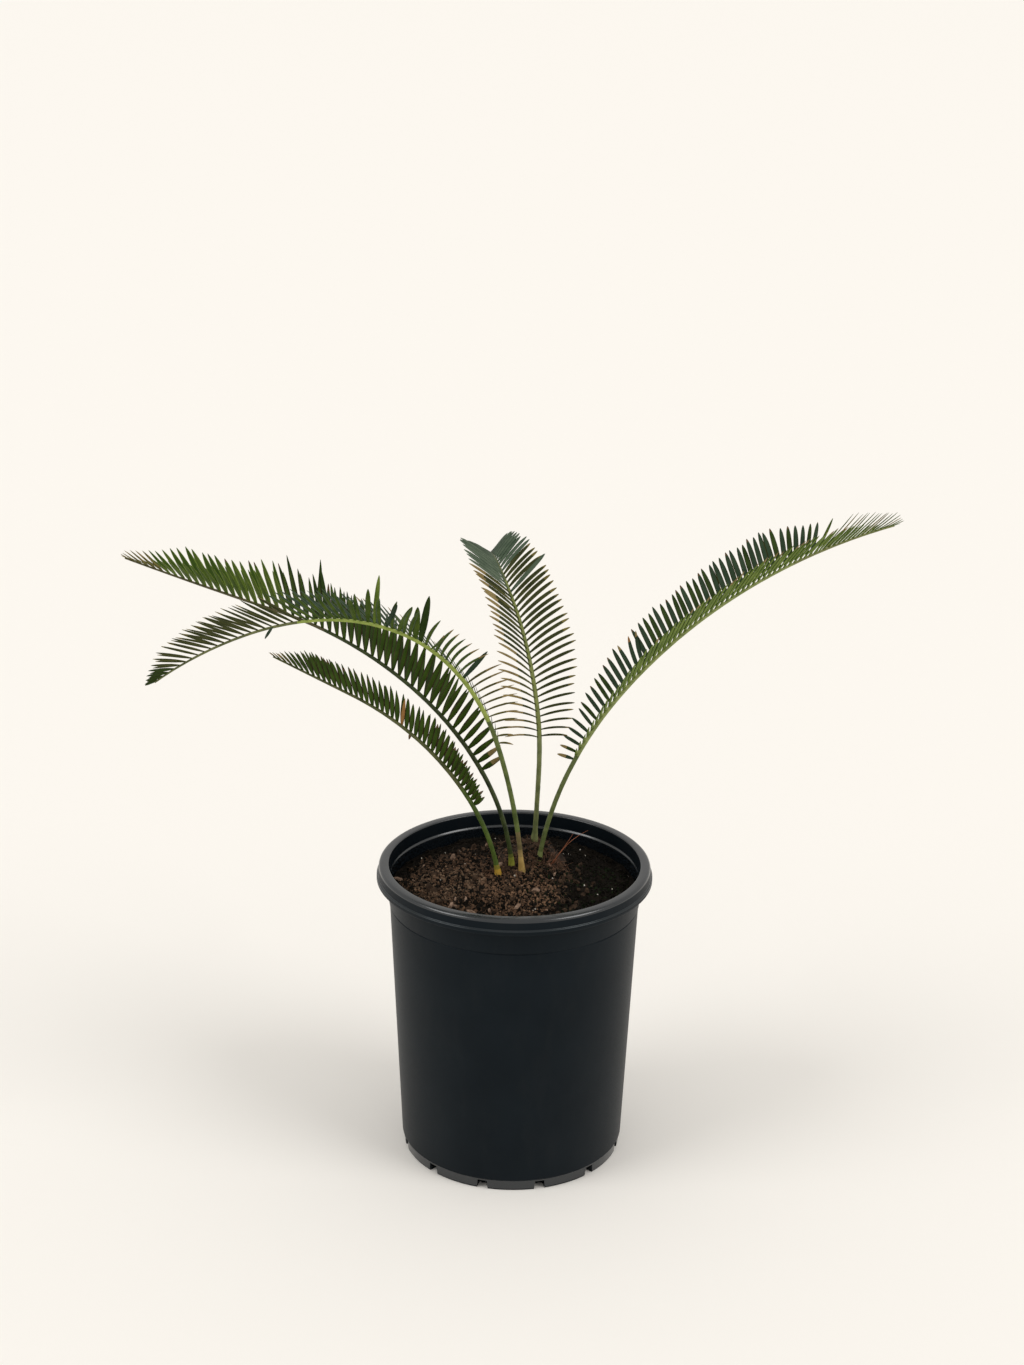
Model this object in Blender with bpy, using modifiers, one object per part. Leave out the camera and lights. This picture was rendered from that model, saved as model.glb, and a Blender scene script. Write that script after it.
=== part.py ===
"""Young potted cycad: five arching feather fronds on a low crown, in a tall black nursery pot.

Metres, +Z up. The origin is the centre of the pot's flat underside.
The front of the plant is seen along +Y, with +X to the right.
"""

import math

import bmesh
import bpy
import numpy as np
from mathutils import Matrix, Vector

# Space left between pieces that rest on one another
GAP = 0.0003

# Pot: a turned shell with a turned-down lip and drain notches around its foot
POT_SEGMENTS = 40
RIM_HEIGHT = 0.248
RIM_RADIUS = 0.1089
LIP_RADIUS = 0.1104
LIP_BOTTOM = 0.2355
LIP_THICKNESS = 0.0022
OPENING_RADIUS = 0.1005
WALL_THICKNESS = 0.0020
WALL_FOOT_RADIUS = 0.0900
WALL_TOP_RADIUS = 0.1010
STEP_HEIGHT = 0.2150
STEP_DEPTH = 0.0007
HEEL_HEIGHT = 0.0090
HEEL_INSET = 0.0012
FOOT_ROUNDING = 0.0012
FLOOR_THICKNESS = 0.0022
FLOOR_FILLET = 0.0020
FILLET_HEIGHT = 0.0050
NOTCH_COUNT = 12
NOTCH_WIDTH = 0.0105
NOTCH_HEIGHT = 0.0074
NOTCH_TOP_SHARE = 0.72
NOTCH_INNER_RADIUS = 0.0800
NOTCH_OUTER_RADIUS = 0.0960

# Soil: a low mound that meets the wall about 20 mm below the rim
SOIL_WALL_HEIGHT = 0.2268
SOIL_TOP_HEIGHT = 0.2385
SOIL_FALL = 1.6
SOIL_FOOT_HEIGHT = 0.0060
SOIL_FOOT_INSET = 0.0030
SOIL_RINGS = 5

# Crown: the top of the egg-shaped stem, mostly sunk in the soil, leaning towards the back
CROWN_CENTRE = (0.009, 0.036, 0.213)
CROWN_RADII = (0.040, 0.052, 0.034)
CROWN_SEGMENTS = 24
CROWN_RINGS = 12

# Leaf stalks and midribs
STALK_RADIUS = 0.0020
STALK_FOOT_RADIUS = 0.0032
STALK_SWELLING = 0.016
STALK_SUNK = 0.009
STALK_POINTS = 14
STALK_SIDES = 8
RIB_TIP_RADIUS = 0.0007
RIB_TAPER = 0.9
SOCKET_CLEARANCE = 0.00045
RIB_POINTS = 13
RIB_SIDES = 6

# Leaflets of these solids: a share of the real number, each a little wider than life
LEAFLET_SHARE = 0.50
LEAFLET_WIDTH = 0.0062
LEAFLET_THICKNESS = 0.0009
LEAFLET_PITCH_SHARE = 0.78
LEAFLET_SHOULDER = 0.62
LEAFLET_SHOULDER_WIDTH = 0.92
LEAFLET_END_MARGIN = 0.0045

# Each frond is named for where it points. Angles are in degrees, set by eye in round numbers.
# foot: where its midline leaves the crown. length: of the whole midline. Both in metres.
# bare: the share of the length that is stalk.
# bends: posts of share of the length, heading from +X towards +Y, and rise above level.
# splits: shares of the length at which the leafy part is divided, where it bends.
# pairs: real leaflet pairs. stagger: how far the two rows stand apart, as a share of a step.
# crowding: how much closer the leaflets stand at the tip than halfway.
# left and right, seen from the foot: posts of leafy share, lean, lift, and leaflet length in
# millimetres. Lean is the angle between a leaflet and the midrib, and lift the angle by
# which it rises out of the frond's own plane. Straight lines join the posts.
FRONDS = {
    "right": {
        "foot": (0.019, 0.017, 0.2395),
        "length": 0.415,
        "bare": 0.225,
        "bends": [(0.0, 0, 82), (0.2, 0, 66), (0.4, 0, 51), (0.75, 0, 31), (1.0, 0, 17)],
        "splits": (0.60,),
        "pairs": 66,
        "stagger": 0.25,
        "crowding": 0.3,
        "left": [
            (0.00, 105, 60, 15),
            (0.10, 85, 40, 24),
            (0.25, 80, 40, 35),
            (0.70, 80, 35, 42),
            (0.80, 60, 20, 36),
            (0.81, 30, 30, 42),
            (0.95, 22, 35, 24),
            (1.00, 10, 15, 9),
        ],
        "right": [
            (0.00, 55, 20, 15),
            (0.30, 45, 35, 38),
            (0.60, 45, 40, 42),
            (0.82, 50, 40, 35),
            (0.92, 55, 35, 20),
            (1.00, 60, 20, 10),
        ],
    },
    "back": {
        "foot": (0.016, 0.046, 0.247),
        "length": 0.335,
        "bare": 0.285,
        "bends": [
            (0.0, 100, 105), (0.2, 100, 100), (0.35, 110, 70), (0.6, 115, 45),
            (0.75, 105, 15), (0.9, 95, -20), (1.0, 85, -25),
        ],
        "splits": (0.72,),
        "pairs": 48,
        "stagger": 0.12,
        "crowding": 0.04,
        "left": [
            (0.00, 65, 15, 31),
            (0.25, 50, 30, 42),
            (0.55, 55, 30, 42),
            (0.66, 45, 25, 41),
            (0.75, 30, 20, 30),
            (1.00, 30, 45, 12),
        ],
        "right": [
            (0.00, 80, 15, 22),
            (0.25, 60, 10, 42),
            (0.55, 50, 15, 42),
            (0.80, 30, 35, 36),
            (1.00, 30, 40, 28),
        ],
    },
    "front": {
        "foot": (0.006, 0.001, 0.2395),
        "length": 0.47,
        "bare": 0.245,
        "bends": [
            (0.0, 210, 85), (0.25, 220, 70), (0.45, 220, 45), (0.65, 215, 18),
            (0.85, 200, -15), (1.0, 190, -35),
        ],
        "splits": (0.48, 0.74),
        "pairs": 62,
        "stagger": 0.0,
        "crowding": 0.16,
        "left": [
            (0.00, 110, 80, 13),
            (0.25, 45, 20, 47),
            (0.50, 45, 40, 45),
            (0.70, 35, 65, 50),
            (0.90, 45, 80, 28),
            (1.00, 15, 70, 8),
        ],
        "right": [
            (0.00, 95, 40, 19),
            (0.25, 100, 20, 42),
            (0.50, 90, 15, 46),
            (0.70, 65, 10, 47),
            (0.90, 50, 25, 34),
            (1.00, 15, 45, 8),
        ],
    },
    "rear": {
        "foot": (-0.002, 0.010, 0.2395),
        "length": 0.425,
        "bare": 0.195,
        "bends": [(0.0, 170, 85), (0.2, 170, 60), (0.4, 170, 40), (0.7, 170, 15), (1.0, 170, 17)],
        "splits": (0.56,),
        "pairs": 54,
        "stagger": 0.0,
        "crowding": 0.08,
        "left": [
            (0.00, 80, 70, 27),
            (0.25, 70, 80, 45),
            (0.55, 70, 65, 51),
            (0.85, 70, 40, 32),
            (1.00, 15, 35, 5),
        ],
        "right": [
            (0.00, 100, 30, 26),
            (0.25, 60, 40, 44),
            (0.60, 55, 40, 50),
            (0.70, 50, 35, 41),
            (0.80, 42, 50, 38),
            (0.87, 30, 50, 29),
            (0.95, 20, 45, 21),
            (1.00, 10, 45, 5),
        ],
    },
    "low": {
        "foot": (-0.013, -0.001, 0.2385),
        "length": 0.27,
        "bare": 0.225,
        "bends": [(0.0, 185, 80), (0.25, 185, 60), (0.5, 190, 45), (0.75, 190, 30), (1.0, 190, 30)],
        "splits": (0.60,),
        "pairs": 44,
        "stagger": 0.0,
        "crowding": 0.0,
        "left": [
            (0.00, 65, 50, 15),
            (0.30, 55, 70, 29),
            (0.80, 45, 65, 29),
            (1.00, 20, 50, 6),
        ],
        "right": [
            (0.00, 105, 45, 14),
            (0.30, 80, 40, 28),
            (0.80, 50, 35, 27),
            (1.00, 10, 45, 6),
        ],
    },
}
SECTION_NAMES = {2: ("inner", "outer"), 3: ("inner", "middle", "outer")}
PATH_STEPS = 240
MILLIMETRE = 0.001


def clear_scene():
    for obj in list(bpy.data.objects):
        bpy.data.objects.remove(obj, do_unlink=True)


def new_collection(name):
    collection = bpy.data.collections.new(name)
    bpy.context.scene.collection.children.link(collection)
    return collection


def material(name, colour, roughness, metallic=0.0):
    mat = bpy.data.materials.new(name)
    mat.use_nodes = True
    shader = mat.node_tree.nodes["Principled BSDF"]
    shader.inputs["Base Color"].default_value = (*colour, 1.0)
    shader.inputs["Roughness"].default_value = roughness
    shader.inputs["Metallic"].default_value = metallic
    return mat


def mesh_object(name, bm, collection, mat=None):
    """Turns a bmesh into an object with outward faces."""
    bmesh.ops.recalc_face_normals(bm, faces=bm.faces)
    mesh = bpy.data.meshes.new(name)
    bm.to_mesh(mesh)
    bm.free()
    obj = bpy.data.objects.new(name, mesh)
    if mat:
        mesh.materials.append(mat)
    collection.objects.link(obj)
    return obj


def hide_cutter(obj):
    obj.hide_render = True
    obj.display_type = "WIRE"


def apply_modifiers(obj):
    """Replaces the object's mesh with what its modifiers make of it."""
    graph = bpy.context.evaluated_depsgraph_get()
    finished = bpy.data.meshes.new_from_object(obj.evaluated_get(graph))
    obj.modifiers.clear()
    obj.data = finished


def turned(name, profile, segments, collection, mat):
    """A profile of (radius, height) points, turned about Z. It runs down its outer side."""
    mesh = bpy.data.meshes.new(name)
    points = [(radius, 0.0, height) for radius, height in profile]
    mesh.from_pydata(points, [(i, i + 1) for i in range(len(points) - 1)], [])
    obj = bpy.data.objects.new(name, mesh)
    mesh.materials.append(mat)
    collection.objects.link(obj)
    screw = obj.modifiers.new("Turn", "SCREW")
    screw.axis = "Z"
    screw.angle = math.tau
    screw.steps = segments
    screw.render_steps = segments
    screw.use_merge_vertices = True
    screw.merge_threshold = 0.00001
    screw.use_smooth_shade = True
    return obj


def boolean(obj, name, operation, collection):
    """Joins to, or cuts from, the object every solid of the collection."""
    modifier = obj.modifiers.new(name, "BOOLEAN")
    modifier.operation = operation
    modifier.operand_type = "COLLECTION"
    modifier.collection = collection
    modifier.solver = "EXACT"
    return modifier


# Pot


def wall_radius(height):
    """Outer radius of the tapering wall."""
    return WALL_FOOT_RADIUS + (WALL_TOP_RADIUS - WALL_FOOT_RADIUS) * height / LIP_BOTTOM


def inner_radius(height):
    """Inner radius of the tapering wall."""
    return wall_radius(height) - WALL_THICKNESS


def pot_profile():
    inside = [
        (0.0, FLOOR_THICKNESS),
        (inner_radius(FLOOR_THICKNESS) - FLOOR_FILLET, FLOOR_THICKNESS),
        (inner_radius(FILLET_HEIGHT), FILLET_HEIGHT),
        (inner_radius(LIP_BOTTOM), LIP_BOTTOM),
        (OPENING_RADIUS - 0.0005, LIP_BOTTOM + 0.0018),
        (OPENING_RADIUS, RIM_HEIGHT - 0.0012),
        (OPENING_RADIUS + 0.0009, RIM_HEIGHT),
    ]
    lip = [
        (RIM_RADIUS - 0.0028, RIM_HEIGHT - 0.0002),
        (RIM_RADIUS - 0.0006, RIM_HEIGHT - 0.0013),
        (RIM_RADIUS + 0.0001, RIM_HEIGHT - 0.0032),
        (LIP_RADIUS, LIP_BOTTOM + 0.0014),
        (LIP_RADIUS - 0.0007, LIP_BOTTOM),
        (LIP_RADIUS - LIP_THICKNESS, LIP_BOTTOM + 0.0002),
        (RIM_RADIUS - LIP_THICKNESS, RIM_HEIGHT - 0.0052),
        (wall_radius(RIM_HEIGHT) + 0.0009, RIM_HEIGHT - 0.0052),
        (wall_radius(LIP_BOTTOM), LIP_BOTTOM + 0.0030),
    ]
    wall = [
        (wall_radius(STEP_HEIGHT) + STEP_DEPTH * 0.5, STEP_HEIGHT + 0.0006),
        (wall_radius(STEP_HEIGHT) - STEP_DEPTH * 0.5, STEP_HEIGHT - 0.0004),
        (wall_radius(HEEL_HEIGHT), HEEL_HEIGHT + 0.0008),
        (wall_radius(HEEL_HEIGHT) - HEEL_INSET, HEEL_HEIGHT - 0.0006),
        (wall_radius(0.0) - HEEL_INSET, FOOT_ROUNDING),
        (wall_radius(0.0) - HEEL_INSET - FOOT_ROUNDING, 0.0),
        (0.0, 0.0),
    ]
    return inside + lip + wall


def add_notch_cutters(collection):
    """Twelve tapered blocks that cut the drain notches out of the corner of the foot."""
    reach = NOTCH_OUTER_RADIUS - NOTCH_INNER_RADIUS
    middle = (NOTCH_OUTER_RADIUS + NOTCH_INNER_RADIUS) / 2
    for index in range(NOTCH_COUNT):
        turn = math.tau * (index + 0.5) / NOTCH_COUNT - math.pi / 2
        bm = bmesh.new()
        bmesh.ops.create_cube(bm, size=1.0)
        for vert in bm.verts:
            if vert.co.z > 0:
                vert.co.y *= NOTCH_TOP_SHARE
        size = Matrix.Diagonal((reach, NOTCH_WIDTH, 2 * NOTCH_HEIGHT, 1.0))
        bmesh.ops.transform(bm, matrix=size, verts=bm.verts)
        cutter = mesh_object(f"notch_cutter_{index + 1}", bm, collection)
        cutter.location = (middle * math.cos(turn), middle * math.sin(turn), 0.0)
        cutter.rotation_euler.z = turn
        hide_cutter(cutter)


def add_pot(parts, mat):
    pot = turned("pot", pot_profile(), POT_SEGMENTS, parts, mat)
    notches = new_collection("notch cutters")
    add_notch_cutters(notches)
    boolean(pot, "Drain notches", "DIFFERENCE", notches)
    return pot


# Soil and crown


def soil_height(radius):
    """Height of the soil's surface, falling slowly from the middle to the wall."""
    share = radius / (inner_radius(SOIL_WALL_HEIGHT) - GAP)
    return SOIL_TOP_HEIGHT - (SOIL_TOP_HEIGHT - SOIL_WALL_HEIGHT) * share**SOIL_FALL


def soil_profile():
    edge = inner_radius(SOIL_WALL_HEIGHT) - GAP
    surface = [edge * step / SOIL_RINGS for step in range(SOIL_RINGS + 1)]
    bottom = FLOOR_THICKNESS + GAP
    side = [
        (inner_radius(SOIL_FOOT_HEIGHT) - GAP, SOIL_FOOT_HEIGHT),
        (inner_radius(bottom) - SOIL_FOOT_INSET, bottom),
        (0.0, bottom),
    ]
    return [(radius, soil_height(radius)) for radius in surface] + side


def egg(name, growth, collection, mat=None):
    """The crown's egg shape, grown on all sides by the given amount."""
    bm = bmesh.new()
    bmesh.ops.create_uvsphere(bm, u_segments=CROWN_SEGMENTS, v_segments=CROWN_RINGS, radius=1.0)
    radii = [radius + growth for radius in CROWN_RADII]
    bmesh.ops.transform(bm, matrix=Matrix.Diagonal((*radii, 1.0)), verts=bm.verts)
    obj = mesh_object(name, bm, collection, mat)
    obj.location = CROWN_CENTRE
    return obj


# Fronds


def at_posts(posts, share):
    """The columns of a list of posts at a share, joined by straight lines."""
    table = np.array(posts, dtype=float)
    return [np.interp(share, table[:, 0], column) for column in table[:, 1:].T]


class Midline:
    """The curve that a frond's stalk and midrib follow, from its foot."""

    def __init__(self, frond):
        self.share = np.linspace(0.0, 1.0, PATH_STEPS + 1)
        self.length = frond["length"]
        heading, rise = np.radians(at_posts(frond["bends"], self.share))
        level = np.cos(rise)
        self.along = np.stack(
            [level * np.cos(heading), level * np.sin(heading), np.sin(rise)], axis=1
        )
        self.right = np.stack([np.sin(heading), -np.cos(heading), np.zeros_like(heading)], axis=1)
        steps = (self.along[1:] + self.along[:-1]) / 2 * self.length / PATH_STEPS
        self.points = np.vstack([np.zeros(3), np.cumsum(steps, axis=0)])

    def read(self, values, share):
        return Vector([np.interp(share, self.share, values[:, axis]) for axis in range(3)])

    def point(self, share):
        """The place at a share of the length. Below zero it runs straight on below the foot."""
        start = self.read(self.points, max(share, 0.0))
        return start + Vector(self.along[0]) * min(share, 0.0) * self.length

    def frame(self, share):
        """Directions along the midrib, to its right, and out of its upper face."""
        along = self.read(self.along, share).normalized()
        right = self.read(self.right, share).normalized()
        return along, right, right.cross(along)


def stalk_radius(height):
    """A stalk's radius, swollen over its first few millimetres above the foot."""
    swelling = max(0.0, 1.0 - max(height, 0.0) / STALK_SWELLING)
    return STALK_RADIUS + (STALK_FOOT_RADIUS - STALK_RADIUS) * swelling**2


def rib_radius(leafy_share):
    """A midrib's radius, tapering from the stalk to the tip."""
    return RIB_TIP_RADIUS + (STALK_RADIUS - RIB_TIP_RADIUS) * (1 - leafy_share) ** RIB_TAPER


def tube(name, points, radii, sides, collection, mat=None):
    """A round bar of changing radius, as a closed mesh."""
    thickest = max(radii)
    curve = bpy.data.curves.new(name, "CURVE")
    curve.dimensions = "3D"
    curve.bevel_depth = thickest
    curve.bevel_resolution = (sides - 4) // 2
    curve.use_fill_caps = True
    spline = curve.splines.new("POLY")
    spline.points.add(len(points) - 1)
    for knot, point, radius in zip(spline.points, points, radii):
        knot.co = (*point, 1.0)
        knot.radius = radius / thickest
    guide = bpy.data.objects.new(name + "_path", curve)
    collection.objects.link(guide)
    graph = bpy.context.evaluated_depsgraph_get()
    bm = bmesh.new()
    bm.from_mesh(bpy.data.meshes.new_from_object(guide.evaluated_get(graph)))
    bpy.data.objects.remove(guide, do_unlink=True)
    bmesh.ops.remove_doubles(bm, verts=bm.verts, dist=0.000001)
    return mesh_object(name, bm, collection, mat)


def add_stalk(name, frond, line, growth, collection, mat=None):
    """A leaf stalk from its sunk foot to its first leaflets, or the socket that holds it."""
    lowest = -(STALK_SUNK + growth) / line.length
    highest = frond["bare"] - GAP / 2 / line.length
    shares = np.linspace(lowest, highest, STALK_POINTS)
    points = [line.point(share) for share in shares]
    radii = [stalk_radius(share * line.length) + growth for share in shares]
    return tube(name, points, radii, STALK_SIDES, collection, mat)


def leaflet_frame(frond, line, side, leafy_share):
    """Directions along a leaflet, across its blade and out of its blade, and its length.

    side is 1 for the right row and -1 for the left one.
    """
    lean, lift, length = at_posts(frond["right" if side > 0 else "left"], leafy_share)
    lean, lift = math.radians(lean), math.radians(lift)
    share = frond["bare"] + (1 - frond["bare"]) * leafy_share
    along, right, upper = line.frame(share)
    outward = right * (side * math.cos(lift)) + upper * math.sin(lift)
    direction = along * math.cos(lean) + outward * math.sin(lean)
    across = (along - direction * along.dot(direction)).normalized()
    return direction, across, direction.cross(across), float(length) * MILLIMETRE


def leaflet_mesh(length, width, direction, across, facing):
    """A lance-shaped blade: nearly even to its shoulder, then drawn to a point."""
    shoulder = length * LEAFLET_SHOULDER
    bm = bmesh.new()
    bmesh.ops.create_cone(
        bm,
        cap_ends=True,
        segments=4,
        radius1=1.0,
        radius2=LEAFLET_SHOULDER_WIDTH,
        depth=shoulder,
    )
    bmesh.ops.translate(bm, vec=(0, 0, shoulder / 2), verts=bm.verts)
    shoulder_cap = max(bm.faces, key=lambda face: face.calc_center_median().z)
    tip = bmesh.ops.poke(bm, faces=[shoulder_cap])["verts"][0]
    tip.co = (0.0, 0.0, length)
    half_size = Matrix.Diagonal((width / 2, LEAFLET_THICKNESS / 2, 1.0, 1.0))
    axes = Matrix((across, facing, direction)).transposed().to_4x4()
    bmesh.ops.transform(bm, matrix=axes @ half_size, verts=bm.verts)
    return bm


def add_leaflets(frond, line, start, end, collection):
    """Both rows of leaflets between two shares of the length, rooted in the midrib."""
    pairs = round(frond["pairs"] * LEAFLET_SHARE)
    pitch = line.length * (1 - frond["bare"]) / pairs
    margin = LEAFLET_END_MARGIN / line.length
    for side in (-1, 1):
        for index in range(pairs):
            step = (index + 0.5 + frond["stagger"] * side) / pairs
            leafy_share = step * (1 + frond["crowding"] * (1 - step))
            share = frond["bare"] + (1 - frond["bare"]) * leafy_share
            if not start + margin < share < end - margin:
                continue
            direction, across, facing, length = leaflet_frame(frond, line, side, leafy_share)
            along = line.frame(share)[0]
            closeness = 1 + frond["crowding"] * (1 - 2 * step)
            spacing = pitch * closeness * math.sqrt(1 - along.dot(direction) ** 2)
            width = min(LEAFLET_WIDTH, spacing * LEAFLET_PITCH_SHARE)
            bm = leaflet_mesh(length, width, direction, across, facing)
            leaflet = mesh_object(f"leaflet_{side}_{index}", bm, collection)
            leaflet.location = line.point(share)


def add_blade(name, frond, line, start, end, parts, mat):
    """One stretch of a frond: its midrib with both rows of leaflets joined to it."""
    last = 1.0 if end == 1.0 else end - GAP / 2 / line.length
    shares = np.linspace(start + GAP / 2 / line.length, last, RIB_POINTS)
    leafy = [(share - frond["bare"]) / (1 - frond["bare"]) for share in shares]
    blade = tube(
        name,
        [line.point(share) for share in shares],
        [rib_radius(max(share, 0.0)) for share in leafy],
        RIB_SIDES,
        parts,
        mat,
    )
    leaflets = new_collection(name + " leaflets")
    add_leaflets(frond, line, start, end, leaflets)
    boolean(blade, "Leaflets", "UNION", leaflets)
    apply_modifiers(blade)
    for leaflet in list(leaflets.objects):
        bpy.data.objects.remove(leaflet, do_unlink=True)
    bpy.data.collections.remove(leaflets)
    return blade


def add_frond(direction, frond, parts, sockets, stalk_mat, blade_mat):
    """A whole frond, its pieces standing on an empty at the frond's foot."""
    line = Midline(frond)
    foot = bpy.data.objects.new(f"foot_{direction}", None)
    foot.location = frond["foot"]
    foot.empty_display_size = 0.01
    parts.objects.link(foot)
    pieces = [add_stalk(f"petiole_{direction}", frond, line, 0.0, parts, stalk_mat)]
    socket = add_stalk(f"socket_{direction}", frond, line, SOCKET_CLEARANCE, sockets)
    hide_cutter(socket)
    pieces.append(socket)
    bounds = (frond["bare"], *frond["splits"], 1.0)
    names = SECTION_NAMES[len(bounds) - 1]
    for name, start, end in zip(names, bounds, bounds[1:]):
        label = f"frond_{direction}_{name}"
        pieces.append(add_blade(label, frond, line, start, end, parts, blade_mat))
    for piece in pieces:
        piece.parent = foot


def main():
    clear_scene()
    parts = new_collection("potted cycad")
    sockets = new_collection("stalk sockets")
    hollows = new_collection("crown hollow")

    pot_black = material("pot black", (0.018, 0.021, 0.025), 0.48)
    soil_brown = material("soil brown", (0.045, 0.030, 0.020), 0.95)
    crown_brown = material("crown brown", (0.13, 0.075, 0.040), 0.90)
    stalk_green = material("stalk green", (0.16, 0.22, 0.06), 0.45)
    leaf_green = material("leaf green", (0.050, 0.095, 0.045), 0.45)

    add_pot(parts, pot_black)
    soil = turned("soil", soil_profile(), POT_SEGMENTS, parts, soil_brown)
    crown = egg("crown", 0.0, parts, crown_brown)
    hollow = egg("crown_hollow", SOCKET_CLEARANCE, hollows)
    hide_cutter(hollow)
    for direction, frond in FRONDS.items():
        add_frond(direction, frond, parts, sockets, stalk_green, leaf_green)
    boolean(soil, "Crown hollow", "DIFFERENCE", hollows)
    for holder in (soil, crown):
        boolean(holder, "Stalk sockets", "DIFFERENCE", sockets)


main()
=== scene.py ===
# %% [markdown]
# A young cycad in a nursery pot. Five feather fronds rise from a low fibrous crown and arch
# over the rim of a tall black plastic pot that is filled with dark, gritty potting mix.
# This lesson dresses the plain solids of the part: each surface that shows is worked out
# again with numpy as a grid of points, and each finish is a small tree of shader nodes.
# Everything is in metres, with +Z up, the front of the plant seen along +Y and the origin
# at the centre of the pot's flat underside.

import math

import bpy
import numpy as np
from mathutils import Matrix, Vector


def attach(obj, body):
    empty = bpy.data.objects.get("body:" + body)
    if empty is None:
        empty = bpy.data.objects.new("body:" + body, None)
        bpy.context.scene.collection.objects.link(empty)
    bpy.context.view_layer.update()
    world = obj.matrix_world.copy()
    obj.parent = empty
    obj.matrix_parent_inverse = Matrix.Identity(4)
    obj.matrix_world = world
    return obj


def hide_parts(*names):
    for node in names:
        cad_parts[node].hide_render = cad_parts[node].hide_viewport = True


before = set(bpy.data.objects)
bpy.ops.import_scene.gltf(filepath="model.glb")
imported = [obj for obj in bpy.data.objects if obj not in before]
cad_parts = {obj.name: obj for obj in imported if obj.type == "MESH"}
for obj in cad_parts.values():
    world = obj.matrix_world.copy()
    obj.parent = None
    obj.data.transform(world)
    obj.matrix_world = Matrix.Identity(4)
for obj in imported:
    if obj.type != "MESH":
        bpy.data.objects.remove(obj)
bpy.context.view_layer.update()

# %% [markdown]
# Sizes come first. These are the few real measures that the rest is worked out from. They
# are the same values that the solids were built from, so every surface lands in its place.

# %% Driving sizes
PHOTO_WIDTH = 1024
PHOTO_HEIGHT = 1365

RIM_HEIGHT = 0.248
RIM_RADIUS = 0.1089
LIP_RADIUS = 0.1104
LIP_BOTTOM = 0.2355
LIP_THICKNESS = 0.0022
BEAD_HEIGHT = 0.0034
OPENING_RADIUS = 0.1005
WALL_THICKNESS = 0.0020
WALL_FOOT_RADIUS = 0.0900
WALL_TOP_RADIUS = 0.1010
STEP_HEIGHT = 0.2150
STEP_DEPTH = 0.0007
HEEL_HEIGHT = 0.0090
HEEL_INSET = 0.0012
FLOOR_THICKNESS = 0.0022
NOTCH_COUNT = 12
NOTCH_WIDTH = 0.0105
NOTCH_HEIGHT = 0.0074
NOTCH_TOP_SHARE = 0.72
NOTCH_INNER_RADIUS = 0.0800
NOTCH_OUTER_RADIUS = 0.0960

SOIL_WALL_HEIGHT = 0.2268
SOIL_TOP_HEIGHT = 0.2385
SOIL_FALL = 1.6

CROWN_CENTRE = np.array((0.009, 0.036, 0.213))
CROWN_RADII = np.array((0.040, 0.052, 0.034))

STALK_RADIUS = 0.0020
STALK_FOOT_RADIUS = 0.0032
STALK_SWELLING = 0.016
STALK_SUNK = 0.009
RIB_TIP_RADIUS = 0.0007
RIB_TAPER = 0.9

rng = np.random.default_rng(11)
print("pot:", 2 * LIP_RADIUS, "m across,", RIM_HEIGHT, "m tall")

# %% [markdown]
# The camera stands where the photographer stood: nearly two metres away, a little above the
# plant and looking down on it by about twenty degrees, with a fairly long lens. A long lens
# from that distance keeps the pot's rim and foot as nearly alike as they are in the photo.

# %% Camera
CAMERA_DISTANCE = 1.967
CAMERA_ELEVATION = math.radians(20.15)
CAMERA_ROLL = math.radians(0.67)
CAMERA_AIM = Vector((-0.0038, 0.0, 0.4007))
FOCAL_PIXELS = 2524.0
SENSOR_HEIGHT = 36.0


def add_camera():
    """A camera that looks along +Y and down, aimed at a point above the pot."""
    data = bpy.data.cameras.new("camera")
    data.sensor_fit = "VERTICAL"
    data.sensor_height = SENSOR_HEIGHT
    data.lens = FOCAL_PIXELS / PHOTO_HEIGHT * SENSOR_HEIGHT
    data.dof.use_dof = False
    camera = bpy.data.objects.new("camera", data)
    back = Vector((0.0, -math.cos(CAMERA_ELEVATION), math.sin(CAMERA_ELEVATION)))
    camera.location = CAMERA_AIM + back * CAMERA_DISTANCE
    turn = Matrix.Rotation(math.pi / 2 - CAMERA_ELEVATION, 4, "X")
    camera.rotation_euler = (turn @ Matrix.Rotation(CAMERA_ROLL, 4, "Z")).to_euler()
    bpy.context.scene.collection.objects.link(camera)
    bpy.context.scene.camera = camera
    return camera


camera = add_camera()
print("lens:", round(camera.data.lens, 1), "mm, at", tuple(round(v, 3) for v in camera.location))

# %% [markdown]
# A surface made from arrays needs only a few helpers. A grid of points that closes round on
# itself is a tube, and a tube with a point at each end is a closed bar. Leaflets, stalks,
# fibres, grains of soil and the soil itself are all such bars, so one function makes them.

# %% Helpers that turn arrays into pieces
def wrapped_quads(rows, columns):
    """Four-cornered faces of a grid whose last column joins its first."""
    row, column = np.meshgrid(np.arange(rows - 1), np.arange(columns), indexing="ij")
    here = row * columns + column
    beside = row * columns + (column + 1) % columns
    return np.stack([here, beside, beside + columns, here + columns], -1).reshape(-1, 4)


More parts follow.
